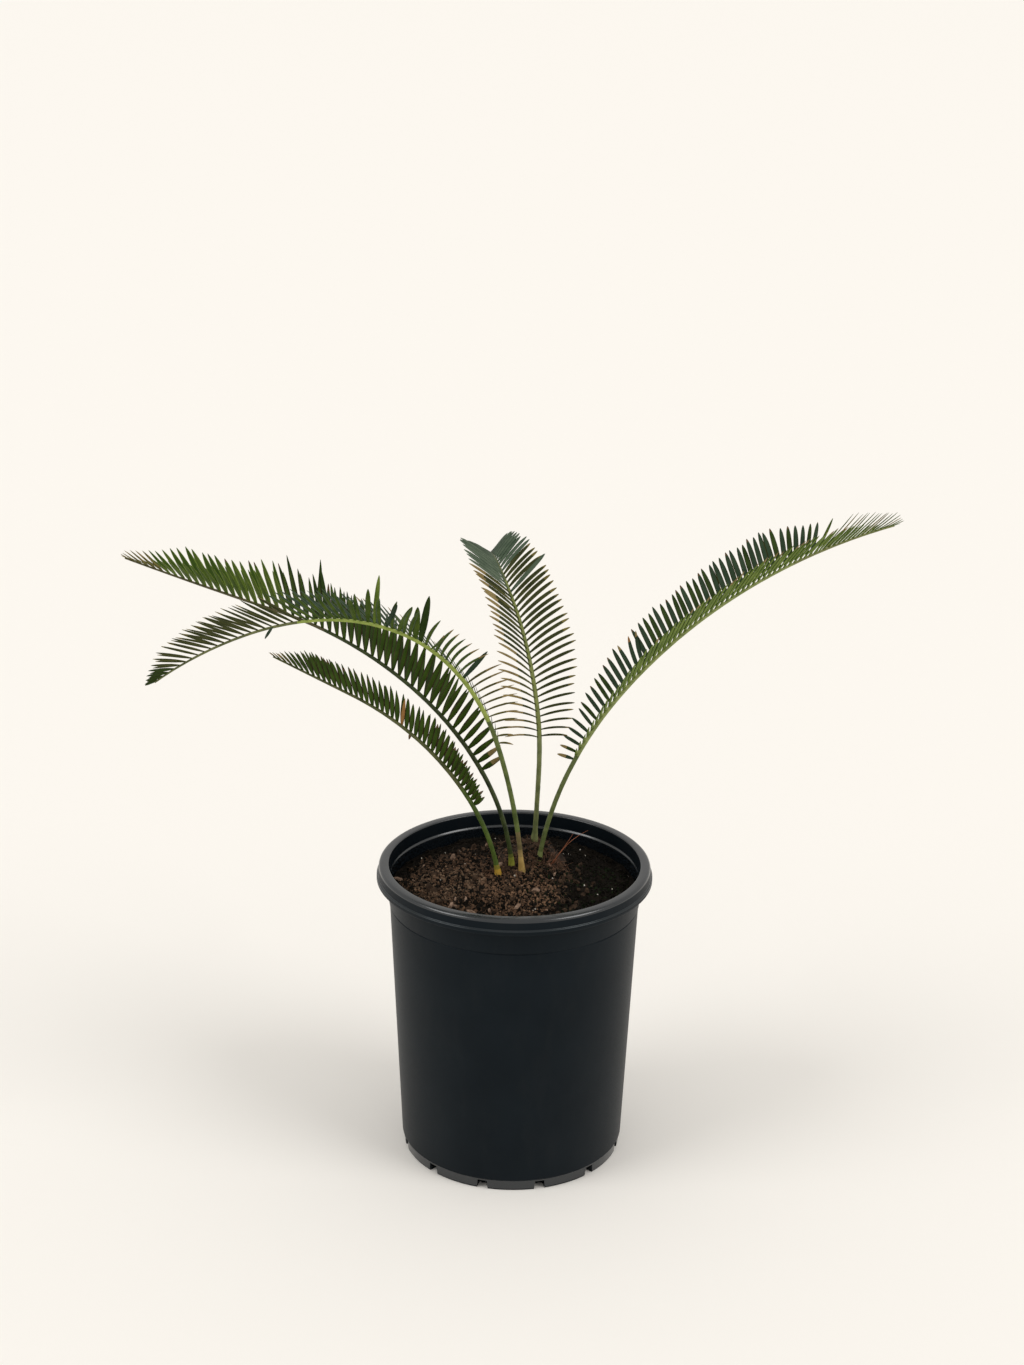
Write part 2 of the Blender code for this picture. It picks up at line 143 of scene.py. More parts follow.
def closed_bars(rings):
    """Points, quads and triangles of many bars, from rings of points.

    rings has the shape (bars, rings in a bar, points in a ring, 3). Each bar is a wrapped
    grid, and a fan of triangles to the middle of its first and last ring closes its ends.
    """
    bars, rows, columns, _ = rings.shape
    stride = rows * columns + 2
    ends = rings[:, [0, -1]].mean(axis=2)
    points = np.concatenate([rings.reshape(bars, -1, 3), ends], axis=1).reshape(-1, 3)
    column = np.arange(columns)
    after = (column + 1) % columns
    first = np.full(columns, rows * columns)
    top = (rows - 1) * columns
    fan_in = np.stack([first, after, column], -1)
    fan_out = np.stack([first + 1, top + column, top + after], -1)
    offset = (np.arange(bars) * stride)[:, None, None]
    quads = (wrapped_quads(rows, columns)[None] + offset).reshape(-1, 4)
    triangles = (np.concatenate([fan_in, fan_out])[None] + offset).reshape(-1, 3)
    return points, quads, triangles


def new_piece(name, points, quads, triangles, finishes, slots=None, smooth=True):
    """Puts arrays of points and faces into a mesh object that rides on the part."""
    mesh = bpy.data.meshes.new(name)
    mesh.from_pydata(points.tolist(), [], quads.tolist() + triangles.tolist())
    count = len(mesh.polygons)
    mesh.polygons.foreach_set("use_smooth", np.full(count, smooth))
    for finish in finishes:
        mesh.materials.append(finish)
    if slots is not None:
        mesh.polygons.foreach_set("material_index", np.asarray(slots, np.int32))
    mesh.update()
    piece = bpy.data.objects.new(name, mesh)
    bpy.context.scene.collection.objects.link(piece)
    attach(piece, "root")
    return piece


def unit(vectors):
    """The same directions with a length of one."""
    return vectors / np.linalg.norm(vectors, axis=-1, keepdims=True)


def mix(low, high, share):
    return low + (high - low) * share


print("one closed bar of 3 rings has", sum(map(len, closed_bars(np.zeros((1, 3, 6, 3)))[1:])), "faces")

# %% [markdown]
# Relief needs a smooth random field. Each corner of a unit lattice gets a random value from
# a hash of its three whole numbers, and a point between corners takes a blend of the eight
# around it. Adding copies at twice the frequency and half the strength gives lumps on lumps.

# %% Smooth random field
HASH_PRIMES = np.array((73856093, 19349663, 83492791), dtype=np.int64)


def lattice_value(corner, seed):
    """A repeatable value from -1 to 1 for each whole-numbered corner."""
    mixed = (corner * HASH_PRIMES).sum(-1) + seed * 2654435761
    mixed = (mixed ^ (mixed >> 13)) * 1274126177 & 0x7FFFFFFF
    mixed = (mixed ^ (mixed >> 16)) & 0xFFFFF
    return mixed / 0x7FFFF - 1.0


def field(points, size, seed, octaves=1):
    """Smooth noise: corner values blended by 3t^2 - 2t^3 along each axis, summed over octaves."""
    total = np.zeros(points.shape[:-1])
    for octave in range(octaves):
        place = points / size * 2**octave
        corner = np.floor(place).astype(np.int64)
        share = place - corner
        share = share * share * (3 - 2 * share)
        value = np.zeros(total.shape)
        for step in np.ndindex(2, 2, 2):
            weight = np.prod(np.where(step, share, 1 - share), axis=-1)
            value += weight * lattice_value(corner + np.array(step), seed + octave)
        total += value / 2**octave
    return total


print("field at three places:", field(np.eye(3) * 0.3, 1.0, 1).round(3))

# %% [markdown]
# Finishes share a few effects. Mottling shifts a colour over the surface in soft patches,
# as age, dust and light do on any real thing. It is one shader group that takes two colours
# and a patch size and gives back the colour and the patch mask, and each material places it
# with its own values.

# %% Shared effect: mottled colour
def link(tree, source, target):
    tree.links.new(source, target)


def mottle_group():
    """Two colours mixed by soft noise patches, with the mask and a finer grain given out."""
    tree = bpy.data.node_groups.new("mottled colour", "ShaderNodeTree")
    for name, kind in (
        ("Colour A", "NodeSocketColor"),
        ("Colour B", "NodeSocketColor"),
        ("Patch Scale", "NodeSocketFloat"),
        ("Grain Scale", "NodeSocketFloat"),
        ("Sharpness", "NodeSocketFloat"),
    ):
        tree.interface.new_socket(name, in_out="INPUT", socket_type=kind)
    for name, kind in (
        ("Colour", "NodeSocketColor"),
        ("Mask", "NodeSocketFloat"),
        ("Grain", "NodeSocketFloat"),
    ):
        tree.interface.new_socket(name, in_out="OUTPUT", socket_type=kind)
    nodes = tree.nodes
    given = nodes.new("NodeGroupInput")
    out = nodes.new("NodeGroupOutput")
    place = nodes.new("ShaderNodeTexCoord")
    patches = nodes.new("ShaderNodeTexNoise")
    patches.inputs["Detail"].default_value = 3.0
    grain = nodes.new("ShaderNodeTexNoise")
    grain.inputs["Detail"].default_value = 2.0
    centred = nodes.new("ShaderNodeMath")
    centred.operation = "SUBTRACT"
    centred.inputs[1].default_value = 0.5
    spread = nodes.new("ShaderNodeMath")
    spread.operation = "MULTIPLY_ADD"
    spread.inputs[2].default_value = 0.5
    spread.use_clamp = True
    blend = nodes.new("ShaderNodeMix")
    blend.data_type = "RGBA"
    link(tree, place.outputs["Object"], patches.inputs["Vector"])
    link(tree, place.outputs["Object"], grain.inputs["Vector"])
    link(tree, given.outputs["Patch Scale"], patches.inputs["Scale"])
    link(tree, given.outputs["Grain Scale"], grain.inputs["Scale"])
    link(tree, patches.outputs["Fac"], centred.inputs[0])
    link(tree, centred.outputs[0], spread.inputs[0])
    link(tree, given.outputs["Sharpness"], spread.inputs[1])
    link(tree, spread.outputs[0], blend.inputs["Factor"])
    link(tree, given.outputs["Colour A"], blend.inputs[6])
    link(tree, given.outputs["Colour B"], blend.inputs[7])
    link(tree, blend.outputs[2], out.inputs["Colour"])
    link(tree, spread.outputs[0], out.inputs["Mask"])
    link(tree, grain.outputs["Fac"], out.inputs["Grain"])
    return tree


MOTTLE = mottle_group()


def mottled_finish(
    name, dark, light, patch, grain, roughness, bump=0.0, relief=0.0002, sharp=2.0, gloss=0.2
):
    """A rough surface in two shades, with grain in its roughness and in its relief.

    patch and grain are sizes in metres. roughness is a pair of limits. gloss is the level
    of the mirror-like part, kept low because these surfaces are dusty or waxy.
    """
    finish = bpy.data.materials.new(name)
    finish.use_nodes = True
    tree = finish.node_tree
    shader = tree.nodes["Principled BSDF"]
    mottle = tree.nodes.new("ShaderNodeGroup")
    mottle.node_tree = MOTTLE
    mottle.inputs["Colour A"].default_value = (*dark, 1.0)
    mottle.inputs["Colour B"].default_value = (*light, 1.0)
    mottle.inputs["Patch Scale"].default_value = 1.0 / patch
    mottle.inputs["Grain Scale"].default_value = 1.0 / grain
    mottle.inputs["Sharpness"].default_value = sharp
    spread = tree.nodes.new("ShaderNodeMapRange")
    spread.inputs["To Min"].default_value = roughness[0]
    spread.inputs["To Max"].default_value = roughness[1]
    shader.inputs["Specular IOR Level"].default_value = gloss
    link(tree, mottle.outputs["Colour"], shader.inputs["Base Color"])
    link(tree, mottle.outputs["Grain"], spread.inputs["Value"])
    link(tree, spread.outputs["Result"], shader.inputs["Roughness"])
    if bump:
        raised = tree.nodes.new("ShaderNodeBump")
        raised.inputs["Strength"].default_value = bump
        raised.inputs["Distance"].default_value = relief
        link(tree, mottle.outputs["Grain"], raised.inputs["Height"])
        link(tree, raised.outputs["Normal"], shader.inputs["Normal"])
    return finish


print("shader groups:", [group.name for group in bpy.data.node_groups])

# %% [markdown]
# The pot is a blow-moulded nursery container: a thin tapering wall with a turned-down lip,
# a bead along the lip's lower edge, a fine groove below it, a heel above the foot and a ring of drain notches. A profile
# turned about the axis gives it all in one closed shell. The corners of the profile are
# rounded by cutting each one off along a quadratic curve, as a mould leaves them.

# %% Pot profile and shell
POT_COLUMNS = 180
CORNER_STEPS = 4


def wall_radius(height):
    return mix(WALL_FOOT_RADIUS, WALL_TOP_RADIUS, height / LIP_BOTTOM)


def inner_radius(height):
    return wall_radius(height) - WALL_THICKNESS


def rounded(profile, radii):
    """Each corner of the profile becomes a quadratic curve that starts radii before it."""
    corners = np.array(profile)
    cut = np.array(radii)[:, None]
    before = unit(corners[:-2] - corners[1:-1])
    after = unit(corners[2:] - corners[1:-1])
    start = corners[1:-1] + before * cut
    end = corners[1:-1] + after * cut
    share = np.linspace(0.0, 1.0, CORNER_STEPS)[:, None, None]
    curve = (1 - share) ** 2 * start + 2 * share * (1 - share) * corners[1:-1] + share**2 * end
    return np.concatenate([corners[:1], curve.transpose(1, 0, 2).reshape(-1, 2), corners[-1:]])


def pot_profile():
    """(radius, height) from the middle of the floor up the inside and down the outside."""
    profile = [
        ((0.0020, FLOOR_THICKNESS), 0.0),
        ((inner_radius(0.0) - 0.0012, FLOOR_THICKNESS), 0.0020),
        ((inner_radius(LIP_BOTTOM), LIP_BOTTOM), 0.0008),
        ((OPENING_RADIUS - 0.0003, LIP_BOTTOM + 0.0016), 0.0007),
        ((OPENING_RADIUS + 0.0001, RIM_HEIGHT), 0.0011),
        ((RIM_RADIUS - 0.0004, RIM_HEIGHT), 0.0026),
        ((LIP_RADIUS - 0.0011, LIP_BOTTOM + BEAD_HEIGHT + 0.0006), 0.0003),
        ((LIP_RADIUS, LIP_BOTTOM + BEAD_HEIGHT), 0.0004),
        ((LIP_RADIUS, LIP_BOTTOM), 0.0007),
        ((LIP_RADIUS - LIP_THICKNESS, LIP_BOTTOM + 0.0001), 0.0006),
        ((RIM_RADIUS - LIP_THICKNESS, RIM_HEIGHT - 0.0052), 0.0008),
        ((wall_radius(RIM_HEIGHT) + 0.0007, RIM_HEIGHT - 0.0052), 0.0004),
        ((wall_radius(LIP_BOTTOM) + 0.0001, LIP_BOTTOM + 0.0030), 0.0008),
        ((wall_radius(STEP_HEIGHT) + STEP_DEPTH * 0.5, STEP_HEIGHT + 0.0006), 0.0002),
        ((wall_radius(STEP_HEIGHT) - STEP_DEPTH, STEP_HEIGHT + 0.0002), 0.0002),
        ((wall_radius(STEP_HEIGHT) - STEP_DEPTH, STEP_HEIGHT - 0.0006), 0.0002),
        ((wall_radius(STEP_HEIGHT) - STEP_DEPTH * 0.3, STEP_HEIGHT - 0.0010), 0.0002),
        ((wall_radius(HEEL_HEIGHT), HEEL_HEIGHT + 0.0007), 0.0005),
        ((wall_radius(HEEL_HEIGHT) - HEEL_INSET, HEEL_HEIGHT - 0.0005), 0.0005),
        ((wall_radius(0.0) - HEEL_INSET, 0.0), 0.0013),
        ((0.0020, 0.0), 0.0),
    ]
    return rounded([point for point, _ in profile], [radius for _, radius in profile[1:-1]])


def turned_rings(profile, columns):
    """Every profile point carried round the axis: (radius cos a, radius sin a, height)."""
    angle = np.linspace(0.0, math.tau, columns, endpoint=False)
    radius, height = profile[:, 0, None], profile[:, 1, None]
    return np.stack(
        [radius * np.cos(angle), radius * np.sin(angle), height + 0 * angle], axis=-1
    )


pot_rings = turned_rings(pot_profile()[::-1], POT_COLUMNS)
print("pot profile points:", len(pot_rings))

# %% [markdown]
# Black polythene is not quite black. It has a cool bluish tone, a fine pebbled sheen from
# the mould, and a thin film of pale dust. The dust is a mask from stretched noise, which
# lightens the colour. The rim's top, its bead and the inside are smoother than the body,
# so they take the same finish with more gloss.

# %% Pot plastic
def pot_finish(name, roughness, gloss, sheen):
    finish = mottled_finish(
        name,
        dark=(0.0022, 0.0042, 0.0062),
        light=(0.0042, 0.0070, 0.0096),
        patch=0.045,
        grain=0.0012,
        roughness=roughness,
        bump=0.10,
        relief=0.00008,
        gloss=gloss,
    )
    tree = finish.node_tree
    shader = tree.nodes["Principled BSDF"]
    shader.inputs["Specular Tint"].default_value = (*sheen, 1.0)
    base = shader.inputs["Base Color"].links[0].from_socket
    place = tree.nodes.new("ShaderNodeTexCoord")
    stretch = tree.nodes.new("ShaderNodeMapping")
    stretch.inputs["Scale"].default_value = (60.0, 60.0, 18.0)
    scuffs = tree.nodes.new("ShaderNodeTexNoise")
    scuffs.inputs["Scale"].default_value = 1.0
    scuffs.inputs["Detail"].default_value = 6.0
    scuffs.inputs["Roughness"].default_value = 0.65
    film = tree.nodes.new("ShaderNodeMapRange")
    film.inputs["From Min"].default_value = 0.50
    film.inputs["From Max"].default_value = 0.85
    film.inputs["To Max"].default_value = 0.12
    dusty = tree.nodes.new("ShaderNodeMix")
    dusty.data_type = "RGBA"
    dusty.inputs[7].default_value = (0.030, 0.027, 0.024, 1.0)
    link(tree, place.outputs["Object"], stretch.inputs["Vector"])
    link(tree, stretch.outputs["Vector"], scuffs.inputs["Vector"])
    link(tree, scuffs.outputs["Fac"], film.inputs["Value"])
    link(tree, film.outputs["Result"], dusty.inputs["Factor"])
    link(tree, base, dusty.inputs[6])
    link(tree, dusty.outputs[2], shader.inputs["Base Color"])
    return finish


GLOSS_DEPTH = 0.0028


def pot_slots(rings):
    """Slot 1 for the faces of the rim's top and the inside, 2 for the bead, 0 for the rest."""
    height = (rings[1:, 0, 2] + rings[:-1, 0, 2]) / 2
    radius = np.linalg.norm((rings[1:, 0] + rings[:-1, 0])[:, :2] / 2, axis=1)
    glossy = height > RIM_HEIGHT - GLOSS_DEPTH
    glossy |= radius < inner_radius(height) + WALL_THICKNESS / 2
    glossy &= height > 2 * FLOOR_THICKNESS
    bead = np.abs(height - LIP_BOTTOM - BEAD_HEIGHT) < GLOSS_DEPTH / 2
    quads = np.repeat(np.where(glossy, 1, np.where(bead, 2, 0)), rings.shape[1])
    return np.concatenate([quads, np.zeros(2 * rings.shape[1], int)])


def add_pot():
    finishes = [
        pot_finish("pot plastic", (0.36, 0.52), 0.12, (0.76, 0.89, 1.0)),
        pot_finish("pot rim plastic", (0.14, 0.28), 0.84, (0.96, 0.98, 1.0)),
        pot_finish("pot bead plastic", (0.14, 0.26), 0.48, (0.84, 0.94, 1.0)),
    ]
    return new_piece("nursery_pot", *closed_bars(pot_rings[None]), finishes, pot_slots(pot_rings))


pot = add_pot()
print("pot faces:", len(pot.data.polygons))

# %% [markdown]
# The drain notches are cut through the corner of the foot with a Boolean. Each cutter is a
# small tapered block, narrower at its top. The Boolean is applied, so the piece is plain
# mesh again, and edges sharper than thirty-five degrees are then kept crisp.

# %% Drain notches
CRISP_ANGLE = math.radians(35)


def notch_blocks():
    """Tapered blocks round the foot: a square ring low down and a narrower one above."""
    turn = math.tau * (np.arange(NOTCH_COUNT) + 0.5) / NOTCH_COUNT - math.pi / 2
    outward = np.stack([np.cos(turn), np.sin(turn), 0 * turn], -1)[:, None, None]
    sideways = np.stack([-np.sin(turn), np.cos(turn), 0 * turn], -1)[:, None, None]
    corner = np.array([(1, -1), (1, 1), (-1, 1), (-1, -1)])[None, None]
    middle = (NOTCH_OUTER_RADIUS + NOTCH_INNER_RADIUS) / 2
    reach = (NOTCH_OUTER_RADIUS - NOTCH_INNER_RADIUS) / 2
    width = NOTCH_WIDTH / 2 * np.array([1.0, NOTCH_TOP_SHARE])[None, :, None, None]
    height = np.array([-NOTCH_HEIGHT, NOTCH_HEIGHT])[None, :, None, None] * np.array([0, 0, 1])
    radial = (middle + reach * corner[..., :1]) * outward
    return radial + width * corner[..., 1:] * sideways + height


def cut_notches(pot):
    points, quads, triangles = closed_bars(notch_blocks())
    mesh = bpy.data.meshes.new("notch cutters")
    mesh.from_pydata(points.tolist(), [], quads.tolist() + triangles.tolist())
    cutter = bpy.data.objects.new("notch_cutters", mesh)
    bpy.context.scene.collection.objects.link(cutter)
    notch = pot.modifiers.new("Drain notches", "BOOLEAN")
    notch.operation = "DIFFERENCE"
    notch.solver = "EXACT"
    notch.object = cutter
    graph = bpy.context.evaluated_depsgraph_get()
    finished = bpy.data.meshes.new_from_object(pot.evaluated_get(graph))
    pot.modifiers.clear()
    pot.data = finished
    bpy.data.objects.remove(cutter, do_unlink=True)
    finished.set_sharp_from_angle(angle=CRISP_ANGLE)


cut_notches(pot)
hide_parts("pot")
print("pot faces with notches:", len(pot.data.polygons))

# %% [markdown]
# Potting mix is a rough, open crumb: composted bark and peat with grit. Its surface is a
# disc of rings with lumps from the random field, closed down the wall and across the floor
# of the pot, and thousands of loose crumbs, chips and fibres are strewn over it.

# %% Soil surface
SOIL_GAP = 0.0003
SOIL_RINGS = 84
SOIL_COLUMNS = 260
SOIL_LUMP = 0.0026
SOIL_CRUMB = 0.0011
SOIL_MOUND_DEPTH = 0.030


def soil_height(radius):
    """The mound falls from its top by a power of the share of the way to the wall."""
    share = np.clip(radius / inner_radius(SOIL_WALL_HEIGHT), 0.0, 1.0)
    return SOIL_TOP_HEIGHT - (SOIL_TOP_HEIGHT - SOIL_WALL_HEIGHT) * share**SOIL_FALL


def ground_height(spots):
    """The height of the soil or, where it stands higher, of the crown."""
    soil = soil_height(np.linalg.norm(spots[..., :2], axis=-1))
    offset = (spots[..., :2] - CROWN_CENTRE[:2]) / CROWN_RADII[:2]
    dome = np.sqrt(np.clip(1 - (offset**2).sum(-1), 0, 1)) * CROWN_RADII[2] + CROWN_CENTRE[2]
    return np.maximum(soil, dome)


def soil_relief(points):
    """Broad lumps, crumbs on them, and small pits where the crumbs don't meet."""
    flat = points * np.array([1.0, 1.0, 0.0])
    lumps = field(flat, 0.020, 3, octaves=2) * SOIL_LUMP
    crumbs = np.abs(field(flat, 0.0042, 9, octaves=3)) * 2 - 1
    return lumps + crumbs * SOIL_CRUMB


def add_soil():
    edge = inner_radius(SOIL_WALL_HEIGHT) - SOIL_GAP
    radius = edge * np.linspace(0.01, 1.0, SOIL_RINGS)
    rings = turned_rings(np.stack([radius, soil_height(radius)], -1), SOIL_COLUMNS)
    rim_fade = np.clip((edge - radius) / 0.004, 0.0, 1.0)[:, None]
    rings[..., 2] += soil_relief(rings) * mix(0.45, 1.0, rim_fade)
    low = SOIL_WALL_HEIGHT - SOIL_MOUND_DEPTH
    skirt = np.array([(inner_radius(low) - SOIL_GAP, low), (0.6 * edge, low), (0.01, low)])
    rings = np.concatenate([rings, turned_rings(skirt, SOIL_COLUMNS)])[::-1]
    finish = mottled_finish(
        "dark potting mix",
        dark=(0.0030, 0.0024, 0.0018),
        light=(0.0110, 0.0078, 0.0050),
        patch=0.0065,
        grain=0.0007,
        roughness=(0.75, 1.0),
        bump=0.9,
        relief=0.0006,
        sharp=3.0,
        gloss=0.08,
    )
    soil = new_piece("soil_surface", *closed_bars(rings[None]), [finish])
    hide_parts("soil")
    return soil


soil = add_soil()
print("soil faces:", len(soil.data.polygons))

# %% [markdown]
# Loose crumbs and chips give soil its look. Each kind is one joined mesh of little closed
# lumps, all worked out at once: a lump is a few rings of a ball with every ring's points
# pushed in or out at random, stretched, turned and set down on the soil.

# %% Strewn lumps
def random_turns(count):
    """Random rotation matrices, from unit quaternions."""
    w, x, y, z = unit(rng.normal(size=(count, 4))).T
    return np.stack(
        [
            np.stack([1 - 2 * (y * y + z * z), 2 * (x * y - z * w), 2 * (x * z + y * w)], -1),
            np.stack([2 * (x * y + z * w), 1 - 2 * (x * x + z * z), 2 * (y * z - x * w)], -1),
            np.stack([2 * (x * z - y * w), 2 * (y * z + x * w), 1 - 2 * (x * x + y * y)], -1),
        ],
        axis=1,
    )


def soil_spots(count, reach=1.0, centre=(0.0, 0.0)):
    """Random places on the soil: the square root of a share spreads them evenly by area."""
    edge = (inner_radius(SOIL_WALL_HEIGHT) - 0.003) * reach
    radius = edge * np.sqrt(rng.random(count))
    angle = rng.random(count) * math.tau
    spots = np.stack([radius * np.cos(angle), radius * np.sin(angle), 0 * radius], -1)
    spots[:, :2] += centre
    out = np.linalg.norm(spots[:, :2], axis=1)
    limit = inner_radius(SOIL_WALL_HEIGHT) - 0.003
    spots[:, :2] *= np.minimum(1.0, limit / np.maximum(out, 1e-6))[:, None]
    spots[:, 2] = ground_height(spots) + soil_relief(spots)
    return spots


def lumps(spots, size, stretch):
    """Rings of (sin p cos a, sin p sin a, cos p), roughened, stretched, turned and placed."""
    count = len(spots)
    polar = np.radians([150, 105, 60, 22])[None, :, None]
    around = np.linspace(0.0, math.tau, 6, endpoint=False)[None, None]
    ball = np.stack(
        [np.sin(polar) * np.cos(around), np.sin(polar) * np.sin(around), np.cos(polar) + 0 * around],
        axis=-1,
    )
    rough = 1.0 + rng.uniform(-0.28, 0.28, size=(count, 4, 6, 1))
    scale = size[:, None] * stretch * rng.uniform(0.75, 1.25, size=(count, 3))
    shaped = ball * rough * scale[:, None, None]
    turned = np.einsum("nij,nrcj->nrci", random_turns(count), shaped)
    return turned + spots[:, None, None]


def strew(name, count, smallest, largest, stretch, finish, reach=1.0, centre=(0.0, 0.0), rise=0.3):
    size = smallest * (largest / smallest) ** rng.random(count) ** 1.6
    spots = soil_spots(count, reach, centre)
    spots[:, 2] += size * rise
    piece = new_piece(name, *closed_bars(lumps(spots, size, np.array(stretch))), [finish], smooth=False)
    return piece


def crumb_finish(name, dark, light):
    return mottled_finish(
        name, dark, light, 0.004, 0.0006, (0.7, 1.0), bump=0.5, relief=0.0003, gloss=0.08
    )


strew("soil_crumbs_dark", 4200, 0.0005, 0.0019, (1.2, 0.9, 0.7),
      crumb_finish("dark crumb", (0.0025, 0.0022, 0.0016), (0.010, 0.0075, 0.0050)))
strew("soil_crumbs_brown", 2100, 0.0004, 0.0016, (1.3, 0.8, 0.6),
      crumb_finish("brown crumb", (0.045, 0.026, 0.016), (0.165, 0.096, 0.058)),
      reach=0.60, centre=(-0.034, -0.018))
strew("soil_crumbs_mixed", 1100, 0.0004, 0.0016, (1.3, 0.8, 0.6),
      crumb_finish("mixed crumb", (0.028, 0.017, 0.011), (0.120, 0.072, 0.044)),
      reach=0.72, centre=(-0.024, -0.008))
strew("soil_lump_left", 600, 0.0004, 0.0014, (1.3, 0.9, 0.6),
      crumb_finish("light brown crumb", (0.070, 0.045, 0.029), (0.210, 0.140, 0.090)),
      reach=0.30, centre=(-0.052, -0.010))
strew("soil_lump_front", 800, 0.0004, 0.0014, (1.3, 0.9, 0.6),
      crumb_finish("warm brown crumb", (0.075, 0.042, 0.025), (0.240, 0.142, 0.085)),
      reach=0.32, centre=(0.006, -0.034))
strew("soil_clods", 220, 0.0014, 0.0032, (1.2, 1.0, 0.7),
      crumb_finish("brown clod", (0.014, 0.009, 0.006), (0.070, 0.043, 0.027)),
      reach=0.80, centre=(-0.012, -0.006), rise=0.2)
strew("bark_chips", 26, 0.0012, 0.0034, (1.5, 0.9, 0.5),
      crumb_finish("bark chip", (0.150, 0.095, 0.066), (0.330, 0.225, 0.165)),
      reach=0.8, centre=(-0.02, -0.01), rise=0.5)
strew("grit", 60, 0.0004, 0.0009, (1, 1, 0.9),
      crumb_finish("pale grit", (0.34, 0.31, 0.26), (0.62, 0.59, 0.53)), rise=0.6)
strew("moss_crumbs", 700, 0.0004, 0.0014, (1.2, 1, 0.5),
      crumb_finish("mossy crumb", (0.003, 0.005, 0.002), (0.012, 0.020, 0.006)),
      reach=0.50, centre=(0.054, -0.020))
